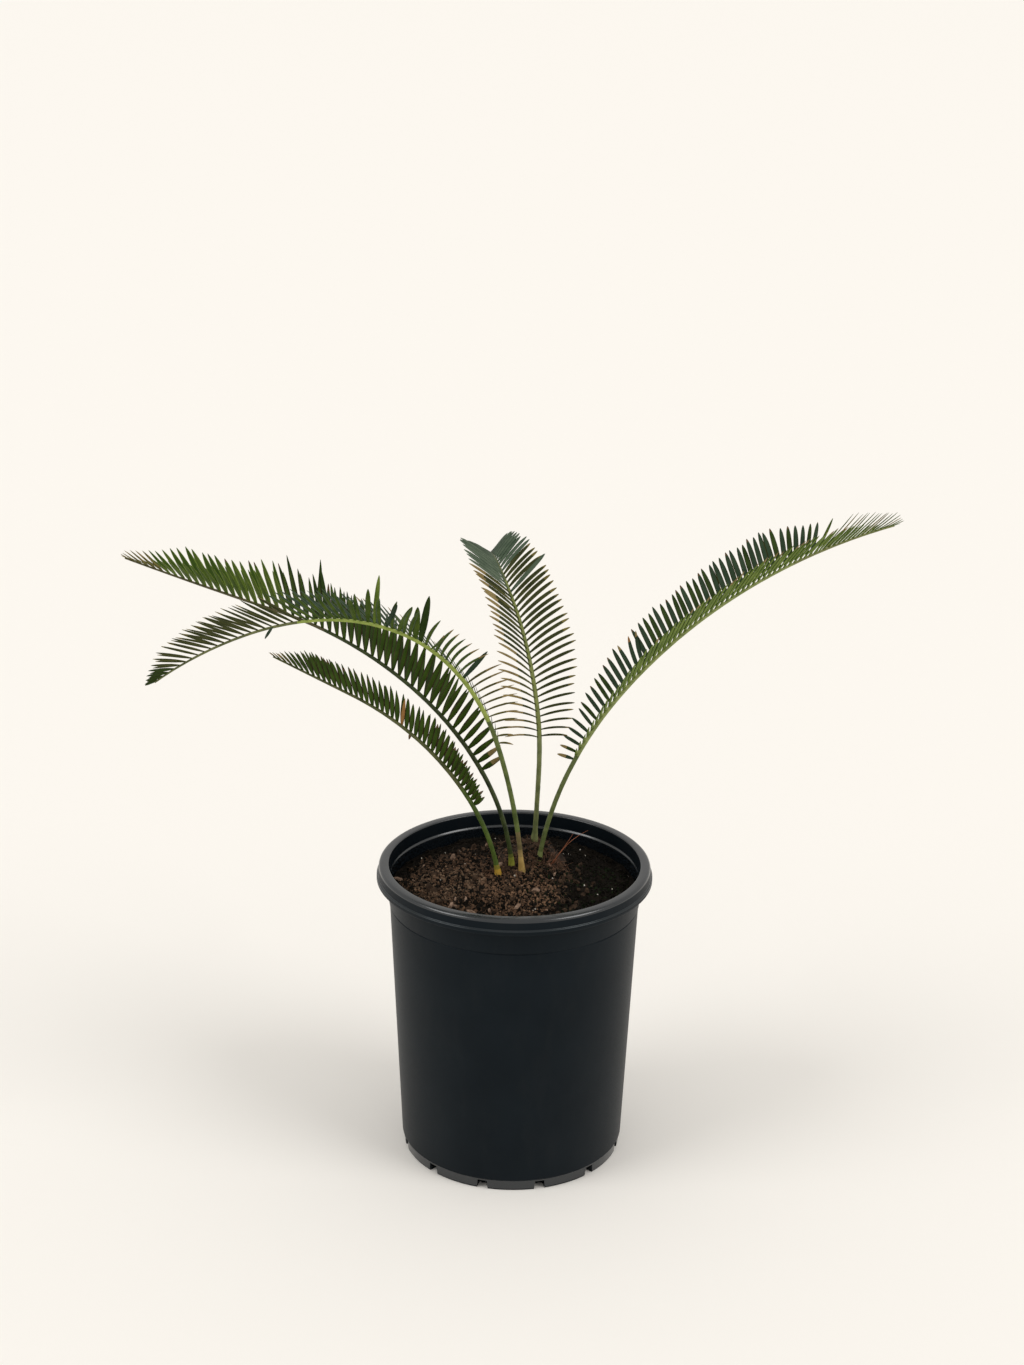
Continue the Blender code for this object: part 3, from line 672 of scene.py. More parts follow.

# %% [markdown]
# A frond starts from one curve. Its heading and its rise above level are set at a few posts
# along it, joined by straight lines, and adding up small steps along that changing direction
# gives the midline. Each row of leaflets has posts of its own: how far a leaflet leans from
# the midrib and lifts out of the frond's plane, and how long and wide it is. Leaflets stand
# closer towards the tip: the share of the leafy part reached by step s of a row is
# s (1 + crowding (1 - s)). The posts are given in round numbers. The same rule shaped
# the solids, so these fronds have the same bends and the same reach.

# %% Fronds: the rule
# foot and length are in metres. bare is the share of the length that is stalk.
# bends: share of the length, heading from +X towards +Y, rise above level, in degrees.
# left and right, seen from the foot: leafy share, lean and lift in degrees, length and
# width in millimetres.
FRONDS = {
    "right": {
        "foot": (0.019, 0.017, 0.2395),
        "length": 0.415,
        "bare": 0.225,
        "bends": [(0.0, 0, 82), (0.2, 0, 66), (0.4, 0, 51), (0.75, 0, 31), (1.0, 0, 17)],
        "pairs": 66,
        "stagger": 0.25,
        "crowding": 0.3,
        "left": [
            (0.00, 105, 60, 15, 2.8),
            (0.10, 85, 40, 24, 3.2),
            (0.25, 80, 40, 35, 4.2),
            (0.70, 80, 35, 42, 4.4),
            (0.80, 60, 20, 36, 3.6),
            (0.81, 30, 30, 42, 1.1),
            (0.95, 22, 35, 24, 1.0),
            (1.00, 10, 15, 9, 1.0),
        ],
        "right": [
            (0.00, 55, 20, 15, 3.6),
            (0.30, 45, 35, 38, 5.2),
            (0.60, 45, 40, 42, 3.8),
            (0.82, 50, 40, 35, 3.2),
            (0.92, 55, 35, 20, 2.0),
            (1.00, 60, 20, 10, 1.2),
        ],
    },
    "back": {
        "foot": (0.016, 0.046, 0.247),
        "length": 0.335,
        "bare": 0.285,
        "bends": [
            (0.0, 100, 105), (0.2, 100, 100), (0.35, 110, 70), (0.6, 115, 45),
            (0.75, 105, 15), (0.9, 95, -20), (1.0, 85, -25),
        ],
        "pairs": 48,
        "stagger": 0.12,
        "crowding": 0.04,
        "left": [
            (0.00, 65, 15, 31, 1.4),
            (0.25, 50, 30, 42, 2.4),
            (0.55, 55, 30, 42, 4.6),
            (0.66, 45, 25, 41, 7.0),
            (0.75, 30, 20, 30, 6.4),
            (1.00, 30, 45, 12, 4.0),
        ],
        "right": [
            (0.00, 80, 15, 22, 1.7),
            (0.25, 60, 10, 42, 2.8),
            (0.55, 50, 15, 42, 3.6),
            (0.80, 30, 35, 36, 4.8),
            (1.00, 30, 40, 28, 4.6),
        ],
    },
    "front": {
        "foot": (0.006, 0.001, 0.2395),
        "length": 0.47,
        "bare": 0.245,
        "bends": [
            (0.0, 210, 85), (0.25, 220, 70), (0.45, 220, 45), (0.65, 215, 18),
            (0.85, 200, -15), (1.0, 190, -35),
        ],
        "pairs": 62,
        "stagger": 0.0,
        "crowding": 0.16,
        "left": [
            (0.00, 110, 80, 13, 1.8),
            (0.25, 45, 20, 47, 2.4),
            (0.50, 45, 40, 45, 4.2),
            (0.70, 35, 65, 50, 2.0),
            (0.90, 45, 80, 28, 1.8),
            (1.00, 15, 70, 8, 2.4),
        ],
        "right": [
            (0.00, 95, 40, 19, 2.2),
            (0.25, 100, 20, 42, 3.6),
            (0.50, 90, 15, 46, 4.6),
            (0.70, 65, 10, 47, 2.9),
            (0.90, 50, 25, 34, 2.5),
            (1.00, 15, 45, 8, 2.6),
        ],
    },
    "rear": {
        "foot": (-0.002, 0.010, 0.2395),
        "length": 0.425,
        "bare": 0.195,
        "bends": [(0.0, 170, 85), (0.2, 170, 60), (0.4, 170, 40), (0.7, 170, 15), (1.0, 170, 17)],
        "pairs": 54,
        "stagger": 0.0,
        "crowding": 0.08,
        "left": [
            (0.00, 80, 70, 27, 4.8),
            (0.25, 70, 80, 45, 4.8),
            (0.55, 70, 65, 51, 4.6),
            (0.85, 70, 40, 32, 5.6),
            (1.00, 15, 35, 5, 1.0),
        ],
        "right": [
            (0.00, 100, 30, 26, 4.6),
            (0.25, 60, 40, 44, 4.8),
            (0.60, 55, 40, 50, 4.4),
            (0.70, 50, 35, 41, 5.6),
            (0.80, 42, 50, 38, 5.2),
            (0.87, 30, 50, 29, 3.2),
            (0.95, 20, 45, 21, 1.3),
            (1.00, 10, 45, 5, 1.0),
        ],
    },
    "low": {
        "foot": (-0.013, -0.001, 0.2385),
        "length": 0.27,
        "bare": 0.225,
        "bends": [(0.0, 185, 80), (0.25, 185, 60), (0.5, 190, 45), (0.75, 190, 30), (1.0, 190, 30)],
        "pairs": 44,
        "stagger": 0.0,
        "crowding": 0.0,
        "left": [
            (0.00, 65, 50, 15, 3.8),
            (0.30, 55, 70, 29, 4.6),
            (0.80, 45, 65, 29, 4.0),
            (1.00, 20, 50, 6, 0.8),
        ],
        "right": [
            (0.00, 105, 45, 14, 3.8),
            (0.30, 80, 40, 28, 4.8),
            (0.80, 50, 35, 27, 4.0),
            (1.00, 10, 45, 6, 0.8),
        ],
    },
}
PATH_STEPS = 240
MILLIMETRE = 0.001


def at_posts(posts, share):
    """The columns of a list of posts at given shares, joined by straight lines."""
    table = np.array(posts, dtype=float)
    return [np.interp(share, table[:, 0], column) for column in table[:, 1:].T]


def leafy_shares(frond, side):
    """Where along the leafy part the leaflets of one side stand, closer towards the tip."""
    step = (np.arange(frond["pairs"]) + 0.5 + frond["stagger"] * side) / frond["pairs"]
    return step * (1 + frond["crowding"] * (1 - step))


class Midline:
    """The curve that a frond's stalk and midrib follow, from its foot."""

    def __init__(self, frond):
        self.share = np.linspace(0.0, 1.0, PATH_STEPS + 1)
        self.length = frond["length"]
        heading, rise = np.radians(at_posts(frond["bends"], self.share))
        level = np.cos(rise)
        self.along = np.stack([level * np.cos(heading), level * np.sin(heading), np.sin(rise)], 1)
        self.right = np.stack([np.sin(heading), -np.cos(heading), 0 * heading], 1)
        steps = (self.along[1:] + self.along[:-1]) / 2 * self.length / PATH_STEPS
        self.path = np.vstack([np.zeros(3), np.cumsum(steps, axis=0)]) + frond["foot"]

    def read(self, values, share):
        return np.stack([np.interp(share, self.share, values[:, k]) for k in range(3)], -1)

    def points(self, share):
        """Places at shares of the length, running straight on below the foot."""
        below = np.minimum(share, 0.0)[..., None] * self.length * self.along[0]
        return self.read(self.path, share) + below

    def frames(self, share):
        """Directions along the midrib, to its right, and out of its upper face."""
        along = unit(self.read(self.along, share))
        right = unit(self.read(self.right, share))
        return along, right, np.cross(right, along)


LINES = {name: Midline(frond) for name, frond in FRONDS.items()}
print({name: round(float(line.path[-1][2]), 3) for name, line in LINES.items()})

# %% [markdown]
# A leaf stalk is a stiff round bar, a little flattened on its upper side, which thins into
# the midrib between the leaflets. It is swollen where it sits in the crown. The bar is a
# ring of points carried along the midline, with small bumps.

# %% Stalks and midribs
STALK_RINGS = 150
STALK_COLUMNS = 14


def stalk_radius(height):
    swelling = np.clip(1.0 - np.maximum(height, 0.0) / STALK_SWELLING, 0.0, 1.0)
    return mix(STALK_RADIUS, STALK_FOOT_RADIUS, swelling**2)


def rib_radius(leafy):
    return RIB_TIP_RADIUS + (STALK_RADIUS - RIB_TIP_RADIUS) * (1 - leafy) ** RIB_TAPER


def stalk_rings(frond, line, seed):
    """Centre plus radius times (cos a right + sin a upper), flattened above and with small bumps."""
    share = np.linspace(-STALK_SUNK / line.length, 1.0, STALK_RINGS)
    leafy = np.clip((share - frond["bare"]) / (1 - frond["bare"]), 0.0, 1.0)
    radius = np.where(share < frond["bare"], stalk_radius(share * line.length), rib_radius(leafy))
    _, right, upper = line.frames(share)
    angle = np.linspace(0.0, math.tau, STALK_COLUMNS, endpoint=False)[None, :, None]
    outward = np.cos(angle) * right[:, None] - np.sin(angle) * upper[:, None]
    flat = 1.0 - 0.16 * np.clip(-np.sin(angle), 0, 1) ** 3
    rings = line.points(share)[:, None] + outward * flat * radius[:, None, None]
    bumps = 1.0 + 0.045 * field(rings, 0.0035, seed, octaves=2)
    return line.points(share)[:, None] + outward * flat * bumps[..., None] * radius[:, None, None]


def stalk_slots(share, first, last):
    """One slot number for each face: the finish of the stretch of stalk that it lies in."""
    middle = (share[1:] + share[:-1]) / 2
    stretch = np.searchsorted(first, middle, side="right") - 1
    quads = np.repeat(stretch, STALK_COLUMNS)
    return np.concatenate([quads, np.zeros(STALK_COLUMNS, int), np.full(STALK_COLUMNS, last)])


# For each frond, stretches of its stalk and midrib: where each starts, as a share of the
# frond's length, and its two shades
STALK_LOOKS = {
    "right": (
        (-1.0, (0.180, 0.210, 0.070), (0.340, 0.360, 0.150)),
        (0.012, (0.110, 0.140, 0.042), (0.240, 0.270, 0.100)),
        (0.024, (0.060, 0.085, 0.022), (0.150, 0.180, 0.062)),
        (0.24, (0.150, 0.190, 0.055), (0.300, 0.340, 0.125)),
        (0.80, (0.130, 0.150, 0.050), (0.240, 0.250, 0.100)),
    ),
    "back": (
        (-1.0, (0.110, 0.135, 0.050), (0.230, 0.255, 0.105)),
        (0.30, (0.100, 0.125, 0.030), (0.210, 0.235, 0.070)),
        (0.70, (0.070, 0.085, 0.030), (0.150, 0.165, 0.070)),
    ),
    "front": (
        (-1.0, (0.300, 0.190, 0.055), (0.520, 0.370, 0.130)),
        (0.028, (0.170, 0.115, 0.038), (0.380, 0.280, 0.110)),
        (0.040, (0.070, 0.060, 0.024), (0.240, 0.190, 0.085)),
        (0.075, (0.050, 0.076, 0.018), (0.150, 0.190, 0.055)),
        (0.30, (0.180, 0.240, 0.040), (0.340, 0.410, 0.100)),
        (0.76, (0.065, 0.075, 0.026), (0.160, 0.170, 0.066)),
    ),
    "rear": (
        (-1.0, (0.130, 0.150, 0.020), (0.300, 0.300, 0.045)),
        (0.018, (0.060, 0.075, 0.012), (0.160, 0.175, 0.034)),
        # From 0.030 on the rear stalk is dark: partly its own brownish green, partly painted shade
        (0.030, (0.016, 0.026, 0.007), (0.058, 0.078, 0.022)),
        (0.60, (0.040, 0.038, 0.014), (0.120, 0.105, 0.050)),
    ),
    "low": (
        (-1.0, (0.300, 0.170, 0.020), (0.520, 0.330, 0.050)),
        (0.018, (0.140, 0.115, 0.015), (0.280, 0.235, 0.040)),
        (0.030, (0.035, 0.062, 0.010), (0.095, 0.140, 0.026)),
        (0.30, (0.038, 0.046, 0.012), (0.110, 0.118, 0.040)),
    ),
}


def add_stalk(name, seed):
    looks = STALK_LOOKS[name]
    finishes = [
        mottled_finish(
            f"{name} stalk green {number}", dark, light, 0.007, 0.0009, (0.38, 0.62),
            bump=0.35, relief=0.0002,
        )
        for number, (_, dark, light) in enumerate(looks)
    ]
    share = np.linspace(-STALK_SUNK / LINES[name].length, 1.0, STALK_RINGS)
    slots = stalk_slots(share, [start for start, _, _ in looks], len(looks) - 1)
    rings = stalk_rings(FRONDS[name], LINES[name], seed)
    piece = new_piece(f"stalk_{name}", *closed_bars(rings[None]), finishes, slots)
    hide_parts(f"petiole_{name}")
    return piece


for seed, name in enumerate(FRONDS):
    add_stalk(name, seed + 20)

# %% [markdown]
# A leaflet is a stiff narrow blade, a few millimetres wide, that narrows to its root and is
# drawn out to a point. Its section is a flat lens with a shallow trough along its upper
# side. All leaflets of a row are worked out together: their directions by the same rule as
# the solids, then a ring of eight points at each of eleven places along every blade. A few
# leaflets stand out of line on any plant. These are listed one by one, and each takes the
# place of the leaflet that is nearest to it in its row.

# %% Leaflets: one row as arrays
BLADE_SHARES = np.array([0.0, 0.07, 0.18, 0.32, 0.47, 0.61, 0.74, 0.84, 0.91, 0.96, 0.99])
BLADE_THICKNESS = 0.00042
SECTION = np.array(
    [(1.0, 0.0), (0.68, 0.42), (0.0, 0.5), (-0.68, 0.42),
     (-1.0, 0.0), (-0.68, -0.42), (0.0, -0.5), (0.68, -0.42)]
)
SECTION_TROUGH = np.array([0.16, 0.08, -0.08, 0.08, 0.16, 0.08, -0.08, 0.08])

# Leafy share, lean, lift, length and width in millimetres, bow
ODD_LEAFLETS = {
    ("right", -1): [
        (0.26, 80, 40, 34, 3.8, -0.05),
        (0.28, 80, 40, 34, 3.8, 0.12),
        (0.30, 80, 40, 33, 3.8, 0.18),
    ],
    ("back", 1): [(0.52, 75, 50, 43, 4.6, 0.0)],
    ("front", -1): [
        (0.21, 55, 30, 45, 4.2, 0.0),
        (0.33, 60, 15, 45, 2.4, 0.10),
        (0.36, 50, 55, 50, 6.0, 0.0),
        (0.39, 45, 40, 46, 5.6, 0.0),
        (0.44, 60, 35, 44, 5.4, 0.0),
        (0.46, 60, 35, 42, 4.2, 0.0),
        (0.50, 60, 60, 52, 4.2, 0.0),
        (0.52, 55, 50, 45, 4.4, 0.0),
        (0.54, 50, 40, 42, 4.2, 0.0),
        (0.73, 55, -5, 20, 2.6, 0.0),
    ],
    ("rear", 1): [
        (0.50, 55, 55, 54, 4.4, 0.0),
        (0.53, 75, 55, 54, 4.4, 0.10),
        (0.57, 55, 55, 54, 4.4, 0.0),
    ],
    ("low", -1): [(0.45, 55, 65, 28, 3.2, 0.0)],
    ("low", 1): [(0.40, 120, -45, 11, 2.6, 0.0)],
}
# How far the blades at a row's foot and at its tip bow, as a share of their length, and how
# blunt they are
ROW_FORMS = {
    ("right", -1): (-0.05, -0.05, 6.0),
    ("right", 1): (0.0, 0.0, 5.0),
    ("back", -1): (-0.28, 0.05, 10.0),
    ("back", 1): (-0.20, -0.05, 10.0),
    ("front", -1): (-0.28, 0.07, 5.0),
    ("front", 1): (0.0, 0.0, 4.0),
    ("rear", -1): (0.0, 0.0, 3.0),
    ("rear", 1): (0.0, 0.0, 3.0),
    ("low", -1): (0.05, 0.0, 3.0),
    ("low", 1): (0.05, 0.0, 3.0),
}
# Spread of lean and lift in degrees, of length and width as shares, and of the bow
JITTER = (0.5, 0.8, 0.02, 0.03, 0.015)


def blade_width(share, taper):
    """Widens from a narrow root and closes to a tip: the higher the taper, the blunter."""
    root = mix(0.42, 1.0, np.sin(np.clip(share / 0.42, 0, 1) * math.pi / 2))
    return root * (1 - share**taper) ** 0.8


def row_of_leaflets(name, side):
    """Root places, directions and sizes of all leaflets on one side of a frond."""
    frond = FRONDS[name]
    leafy = leafy_shares(frond, side)
    foot_bow, tip_bow, taper = ROW_FORMS[name, side]
    chance = rng.normal(0, 1, (len(JITTER), len(leafy))) * np.array(JITTER)[:, None]
    lean, lift, length, width = at_posts(frond["right" if side > 0 else "left"], leafy)
    values = np.stack(
        [
            lean + chance[0],
            lift + chance[1],
            length * (1 + chance[2]),
            width * (1 + chance[3]),
            mix(foot_bow, tip_bow, leafy) + chance[4],
        ],
        axis=1,
    )
    odd = np.zeros(len(leafy), bool)
    for place, *given in ODD_LEAFLETS.get((name, side), []):
        nearest = np.abs(leafy - place).argmin()
        values[nearest] = given
        odd[nearest] = True
    lean, lift, length, width, bow = values.T
    return {
        "frond": name,
        "side": side,
        "taper": taper,
        "share": frond["bare"] + (1 - frond["bare"]) * leafy,
        "leafy": leafy,
        "lean": np.radians(lean),
        "lift": np.radians(lift),
        "length": length * MILLIMETRE,
        "width": width * MILLIMETRE,
        "bow": bow,
        "odd": odd,
    }


def leaflet_rings(row):
    """The rings of points of every blade in a row.

    A ring's centre is root + D length s + W length bow s^2, where D is the leaflet's
    direction and W the way across it, towards the frond's tip.
    """
    line = LINES[row["frond"]]
    along, right, upper = line.frames(row["share"])
    lean, lift = row["lean"][:, None], row["lift"][:, None]
    outward = right * (row["side"] * np.cos(lift)) + upper * np.sin(lift)
    direction = along * np.cos(lean) + outward * np.sin(lean)
    across = unit(along - direction * (along * direction).sum(-1, keepdims=True))
    facing = np.cross(direction, across)
    facing *= np.sign((facing * upper).sum(-1, keepdims=True))
    root = line.points(row["share"]) + upper * (rib_radius(row["leafy"]) * 0.35)[:, None]
    share = BLADE_SHARES[None, :, None, None]
    length = row["length"][:, None, None, None]
    bow = row["bow"][:, None, None, None]
    centre = (
        root[:, None, None]
        + direction[:, None, None] * share * length
        + across[:, None, None] * share**2 * length * bow
    )
    width = blade_width(share, row["taper"]) * row["width"][:, None, None, None] / 2
    thick = BLADE_THICKNESS * mix(1.0, 0.55, share)
    wide = SECTION[None, None, :, :1] * across[:, None, None] * width
    deep = SECTION[None, None, :, 1:] * facing[:, None, None] * thick
    trough = SECTION_TROUGH[None, None, :, None] * facing[:, None, None] * width
    rings = centre + wide + deep + trough
    flip = ((np.cross(across, facing) * direction).sum(-1) < 0)[:, None, None, None]
    return np.where(flip, rings[:, :, ::-1], rings), flip.ravel()


row = row_of_leaflets("right", -1)
shortest, longest = row["length"].min().round(3), row["length"].max().round(3)
print("leaflets in a row:", len(row["share"]), "lengths:", shortest, "to", longest)

# %% [markdown]
# Leaf colours differ from frond to frond and from face to face. The upper faces are deep
# green, some with a waxy bloom, and the under faces are paler. Some leaflets have tan tips
# where they have dried. Each of these is a plain finish of its own, dealt out by leaflet and
# by the stretch of a leaflet, so that no pattern has to be painted across a joined mesh.

# %% Leaf finishes
LEAF_TONES = {
    "blue green": ((0.013, 0.030, 0.014), (0.032, 0.058, 0.030)),
    "deep green": ((0.010, 0.024, 0.003), (0.030, 0.056, 0.008)),
    "leaf green": ((0.019, 0.042, 0.003), (0.044, 0.082, 0.008)),
    "mid green": ((0.029, 0.056, 0.005), (0.070, 0.110, 0.014)),
    "grass green": ((0.080, 0.130, 0.016), (0.160, 0.220, 0.040)),
    "yellow green": ((0.105, 0.160, 0.022), (0.210, 0.280, 0.055)),
    "slate green": ((0.038, 0.062, 0.036), (0.088, 0.122, 0.078)),
    "pale slate": ((0.060, 0.088, 0.056), (0.125, 0.160, 0.108)),
    "dark olive": ((0.018, 0.024, 0.006), (0.046, 0.052, 0.016)),
    "olive": ((0.040, 0.042, 0.009), (0.092, 0.090, 0.024)),
    "straw olive": ((0.090, 0.076, 0.018), (0.190, 0.155, 0.048)),
    "straw": ((0.145, 0.103, 0.036), (0.290, 0.220, 0.090)),
    "cream": ((0.380, 0.300, 0.190), (0.600, 0.510, 0.370)),
    "orange": ((0.200, 0.095, 0.028), (0.380, 0.200, 0.070)),
    "dark brown": ((0.022, 0.018, 0.007), (0.060, 0.046, 0.020)),
    "brown": ((0.050, 0.030, 0.012), (0.130, 0.080, 0.036)),
}
leaf_finishes = {}


def leaf_finish(tone):
    if tone not in leaf_finishes:
        dark, light = LEAF_TONES[tone]
        leaf_finishes[tone] = mottled_finish(
            f"leaf {tone}", dark, light, 0.012, 0.0010, (0.46, 0.62), bump=0.18, relief=0.00015,
            gloss=0.08,
        )
    return leaf_finishes[tone]


print("leaf tones:", ", ".join(LEAF_TONES))

# %% [markdown]
# Each row of each frond is one piece. A table says, stretch by stretch along the frond,
# which tones its leaflets take above and below. A second table says where tips are dry:
# most of the back frond's left row, the near row low on the front frond, and a sprinkling
# of others.

# %% Rows of leaflets
# Where a stretch ends as a leafy share, tones of upper faces to choose from, the tone below,
# and that of the dry margins
ROW_TONES = {
    ("right", -1): [(0.80, ("blue green", "blue green", "deep green"), "slate green", "dark olive"),
                    (1.00, ("straw olive", "mid green"), "straw olive", "olive")],
    ("right", 1): [(0.24, ("mid green", "dark olive"), "grass green", "mid green"),
                   (0.82, ("grass green",), "grass green", "mid green"),
                   (1.00, ("straw olive", "grass green"), "grass green", "mid green")],
    ("back", -1): [(0.52, ("olive", "dark olive"), "olive", "dark olive"),
                   (1.00, ("pale slate",), "pale slate", "slate green")],
    ("back", 1): [(0.62, ("dark olive",), "dark olive", "olive"),
                  (1.00, ("slate green",), "slate green", "blue green")],
    ("front", -1): [(0.22, ("olive",), "olive", "straw olive"),
                    (0.42, ("mid green",), "mid green", "slate green"),
                    (0.66, ("blue green", "mid green"), "mid green", "slate green"),
                    (0.95, ("dark olive",), "dark olive", "olive"),
                    (1.00, ("deep green",), "deep green", "dark olive")],
    ("front", 1): [(0.42, ("blue green", "mid green"), "blue green", "slate green"),
                   (0.66, ("blue green",), "blue green", "slate green"),
                   (0.95, ("dark olive",), "dark olive", "olive"),
                   (1.00, ("deep green",), "deep green", "dark olive")],
    ("rear", -1): [(0.60, ("leaf green",), "leaf green", "dark brown"),
                   (0.90, ("mid green", "leaf green"), "mid green", "grass green"),
                   (1.00, ("straw olive",), "olive", "olive")],
    ("rear", 1): [(0.60, ("leaf green", "deep green"), "leaf green", "dark brown"),
                  (0.90, ("mid green", "leaf green"), "mid green", "grass green"),
                  (1.00, ("straw olive",), "olive", "olive")],
    ("low", -1): [(0.90, ("leaf green",), "leaf green", "dark brown"),
                  (1.00, ("straw olive",), "olive", "olive")],
    ("low", 1): [(0.90, ("leaf green",), "leaf green", "dark brown"),
                 (1.00, ("straw olive",), "olive", "olive")],
}
# From and to leafy shares, the share of leaflets that are dry there, where along a blade the
# dry part starts, and its tone
DRY_TIPS = {
    ("right", -1): [(0.00, 0.03, 1.0, 0.5, "straw"), (0.03, 0.80, 0.60, 0.94, "brown")],
    ("right", 1): [(0.30, 0.50, 0.30, 0.88, "straw"), (0.50, 0.84, 0.60, 0.84, "straw")],
    ("back", -1): [(0.00, 0.25, 1.0, 0.46, "straw"), (0.25, 0.52, 1.0, 0.70, "straw")],
    ("back", 1): [(0.00, 0.62, 0.85, 0.88, "straw olive")],
    ("front", -1): [(0.00, 0.20, 0.95, 0.60, "straw"), (0.20, 0.36, 0.60, 0.80, "straw"),
                    (0.66, 0.94, 0.70, 0.88, "straw olive")],
    ("front", 1): [(0.10, 0.50, 0.25, 0.88, "straw"), (0.66, 0.94, 0.70, 0.88, "straw olive")],
    ("rear", -1): [(0.00, 0.04, 1.0, 0.40, "straw"), (0.40, 0.85, 0.30, 0.92, "brown"),
                   (0.92, 1.00, 0.50, 0.70, "straw")],
    ("rear", 1): [(0.30, 0.85, 0.30, 0.92, "brown"), (0.92, 1.00, 0.50, 0.70, "straw")],
    ("low", -1): [(0.00, 0.85, 0.30, 0.90, "brown"), (0.93, 1.00, 1.0, 0.60, "straw")],
    ("low", 1): [(0.00, 0.15, 0.50, 0.75, "brown"), (0.15, 0.85, 0.30, 0.90, "brown"),
                 (0.93, 1.00, 1.0, 0.60, "straw")],
}
# Tones of the leaflets that stand out of line, in the order of their list: face, tip, and
# where the tip's tone starts
ODD_TONES = {
    ("right", -1): [("blue green", "straw", 0.86),
                    ("blue green", "orange", 0.82), ("blue green", "straw", 0.84)],
    ("back", 1): [("slate green", "slate green", 2.0)],
    ("front", -1): [("blue green", "blue green", 2.0), ("mid green", "straw", 0.8),
                    ("deep green", "deep green", 2.0), ("mid green", "mid green", 2.0),
                    ("mid green", "mid green", 2.0), ("blue green", "blue green", 2.0),
                    ("grass green", "grass green", 2.0), ("mid green", "mid green", 2.0),
                    ("mid green", "mid green", 2.0), ("blue green", "blue green", 2.0)],
    ("rear", 1): [("deep green", "deep green", 2.0), ("deep green", "deep green", 2.0),
                  ("deep green", "deep green", 2.0)],
    ("low", -1): [("orange", "straw", 0.9)],
    ("low", 1): [("brown", "brown", 2.0)],
}
SECTIONS = {
    "right": ("inner", "outer"),
    "back": ("inner", "outer"),
    "front": ("inner", "middle", "outer"),
    "rear": ("inner", "outer"),
    "low": ("inner", "outer"),
}


def dealt_tones(row):
    """For every leaflet: its upper, under, tip and margin tones, and where its tip starts."""
    where = row["frond"], row["side"]
    stretches = ROW_TONES[where]
    starts = np.full(len(row["leafy"]), 2.0)
    tones = []
    for k in np.searchsorted([end for end, *_ in stretches], row["leafy"]):
        _, upper, under, margin = stretches[k]
        tones.append([str(rng.choice(upper)), under, "straw", margin])
    for first, last, amount, start, tone in DRY_TIPS.get(where, []):
        here = (row["leafy"] >= first) & (row["leafy"] < last) & (rng.random(len(starts)) < amount)
        for k in np.flatnonzero(here):
            tones[k][2] = tone
            starts[k] = start + rng.uniform(-0.06, 0.06)
    for k, (face, tip, start) in zip(np.flatnonzero(row["odd"]), ODD_TONES.get(where, [])):
        tones[k] = [face, face, tip, face]
        starts[k] = start
    return tones, starts


def leaflet_slots(flip, tone_slots, starts):
    """A slot number for each face, in the order in which closed_bars lists the faces."""
    part = np.array([3, 0, 0, 3, 3, 1, 1, 3])
    part = np.where(flip[:, None], np.roll(part[::-1], -1), part)
    face = np.take_along_axis(tone_slots, part, axis=1)
    middle = (BLADE_SHARES[1:] + BLADE_SHARES[:-1]) / 2
    dry = middle[None] > starts[:, None]
    quads = np.where(dry[:, :, None], tone_slots[:, 2, None, None], face[:, None])
    tip = np.where(dry[:, -1:], tone_slots[:, 2:3], face)
    return np.concatenate([quads.reshape(-1), np.concatenate([face, tip], axis=1).reshape(-1)])


def add_row(name, side):
    row = row_of_leaflets(name, side)
    tones, starts = dealt_tones(row)
    names = sorted({tone for leaflet in tones for tone in leaflet})
    tone_slots = np.array([[names.index(tone) for tone in leaflet] for leaflet in tones])
    rings, flip = leaflet_rings(row)
    piece = new_piece(
        f"leaflets_{name}_{'right' if side > 0 else 'left'}",
        *closed_bars(rings),
        [leaf_finish(tone) for tone in names],
        leaflet_slots(flip, tone_slots, starts),
    )
    return piece


for name in FRONDS:
    rows = [add_row(name, side) for side in (-1, 1)]
    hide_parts(*(f"frond_{name}_{section}" for section in SECTIONS[name]))

# %% [markdown]
# The crown of a young cycad is a low, egg-shaped stem clad in brown scale leaves and wool,
# and here only its top stands out of the soil. It is a ball of rings stretched to the
# crown's size, with woolly relief, and loose fibres lie over it and around the stalks.

# %% Crown and fibres
CROWN_RINGS = 60
CROWN_COLUMNS = 90


def add_crown():
    """(rx sin p cos a, ry sin p sin a, rz cos p) about the crown's centre, roughened."""
    polar = np.linspace(math.pi * 0.99, math.pi * 0.01, CROWN_RINGS)[:, None]
    around = np.linspace(0.0, math.tau, CROWN_COLUMNS, endpoint=False)[None]
    ball = np.stack(
        [np.sin(polar) * np.cos(around), np.sin(polar) * np.sin(around), np.cos(polar) + 0 * around],
        axis=-1,
    )
    rough = 1.0 + 0.028 * field(ball, 0.16, 5, octaves=3)
    rings = ball * (CROWN_RADII - 0.0006) * rough[..., None] + CROWN_CENTRE
    finish = mottled_finish(
        "crown wool", (0.008, 0.005, 0.003), (0.042, 0.024, 0.014), 0.005, 0.0006, (0.8, 1.0),
        bump=0.8, relief=0.0005, sharp=3.0,
    )
    crown = new_piece("crown_top", *closed_bars(rings[None]), [finish])
    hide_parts("crown")
    return crown


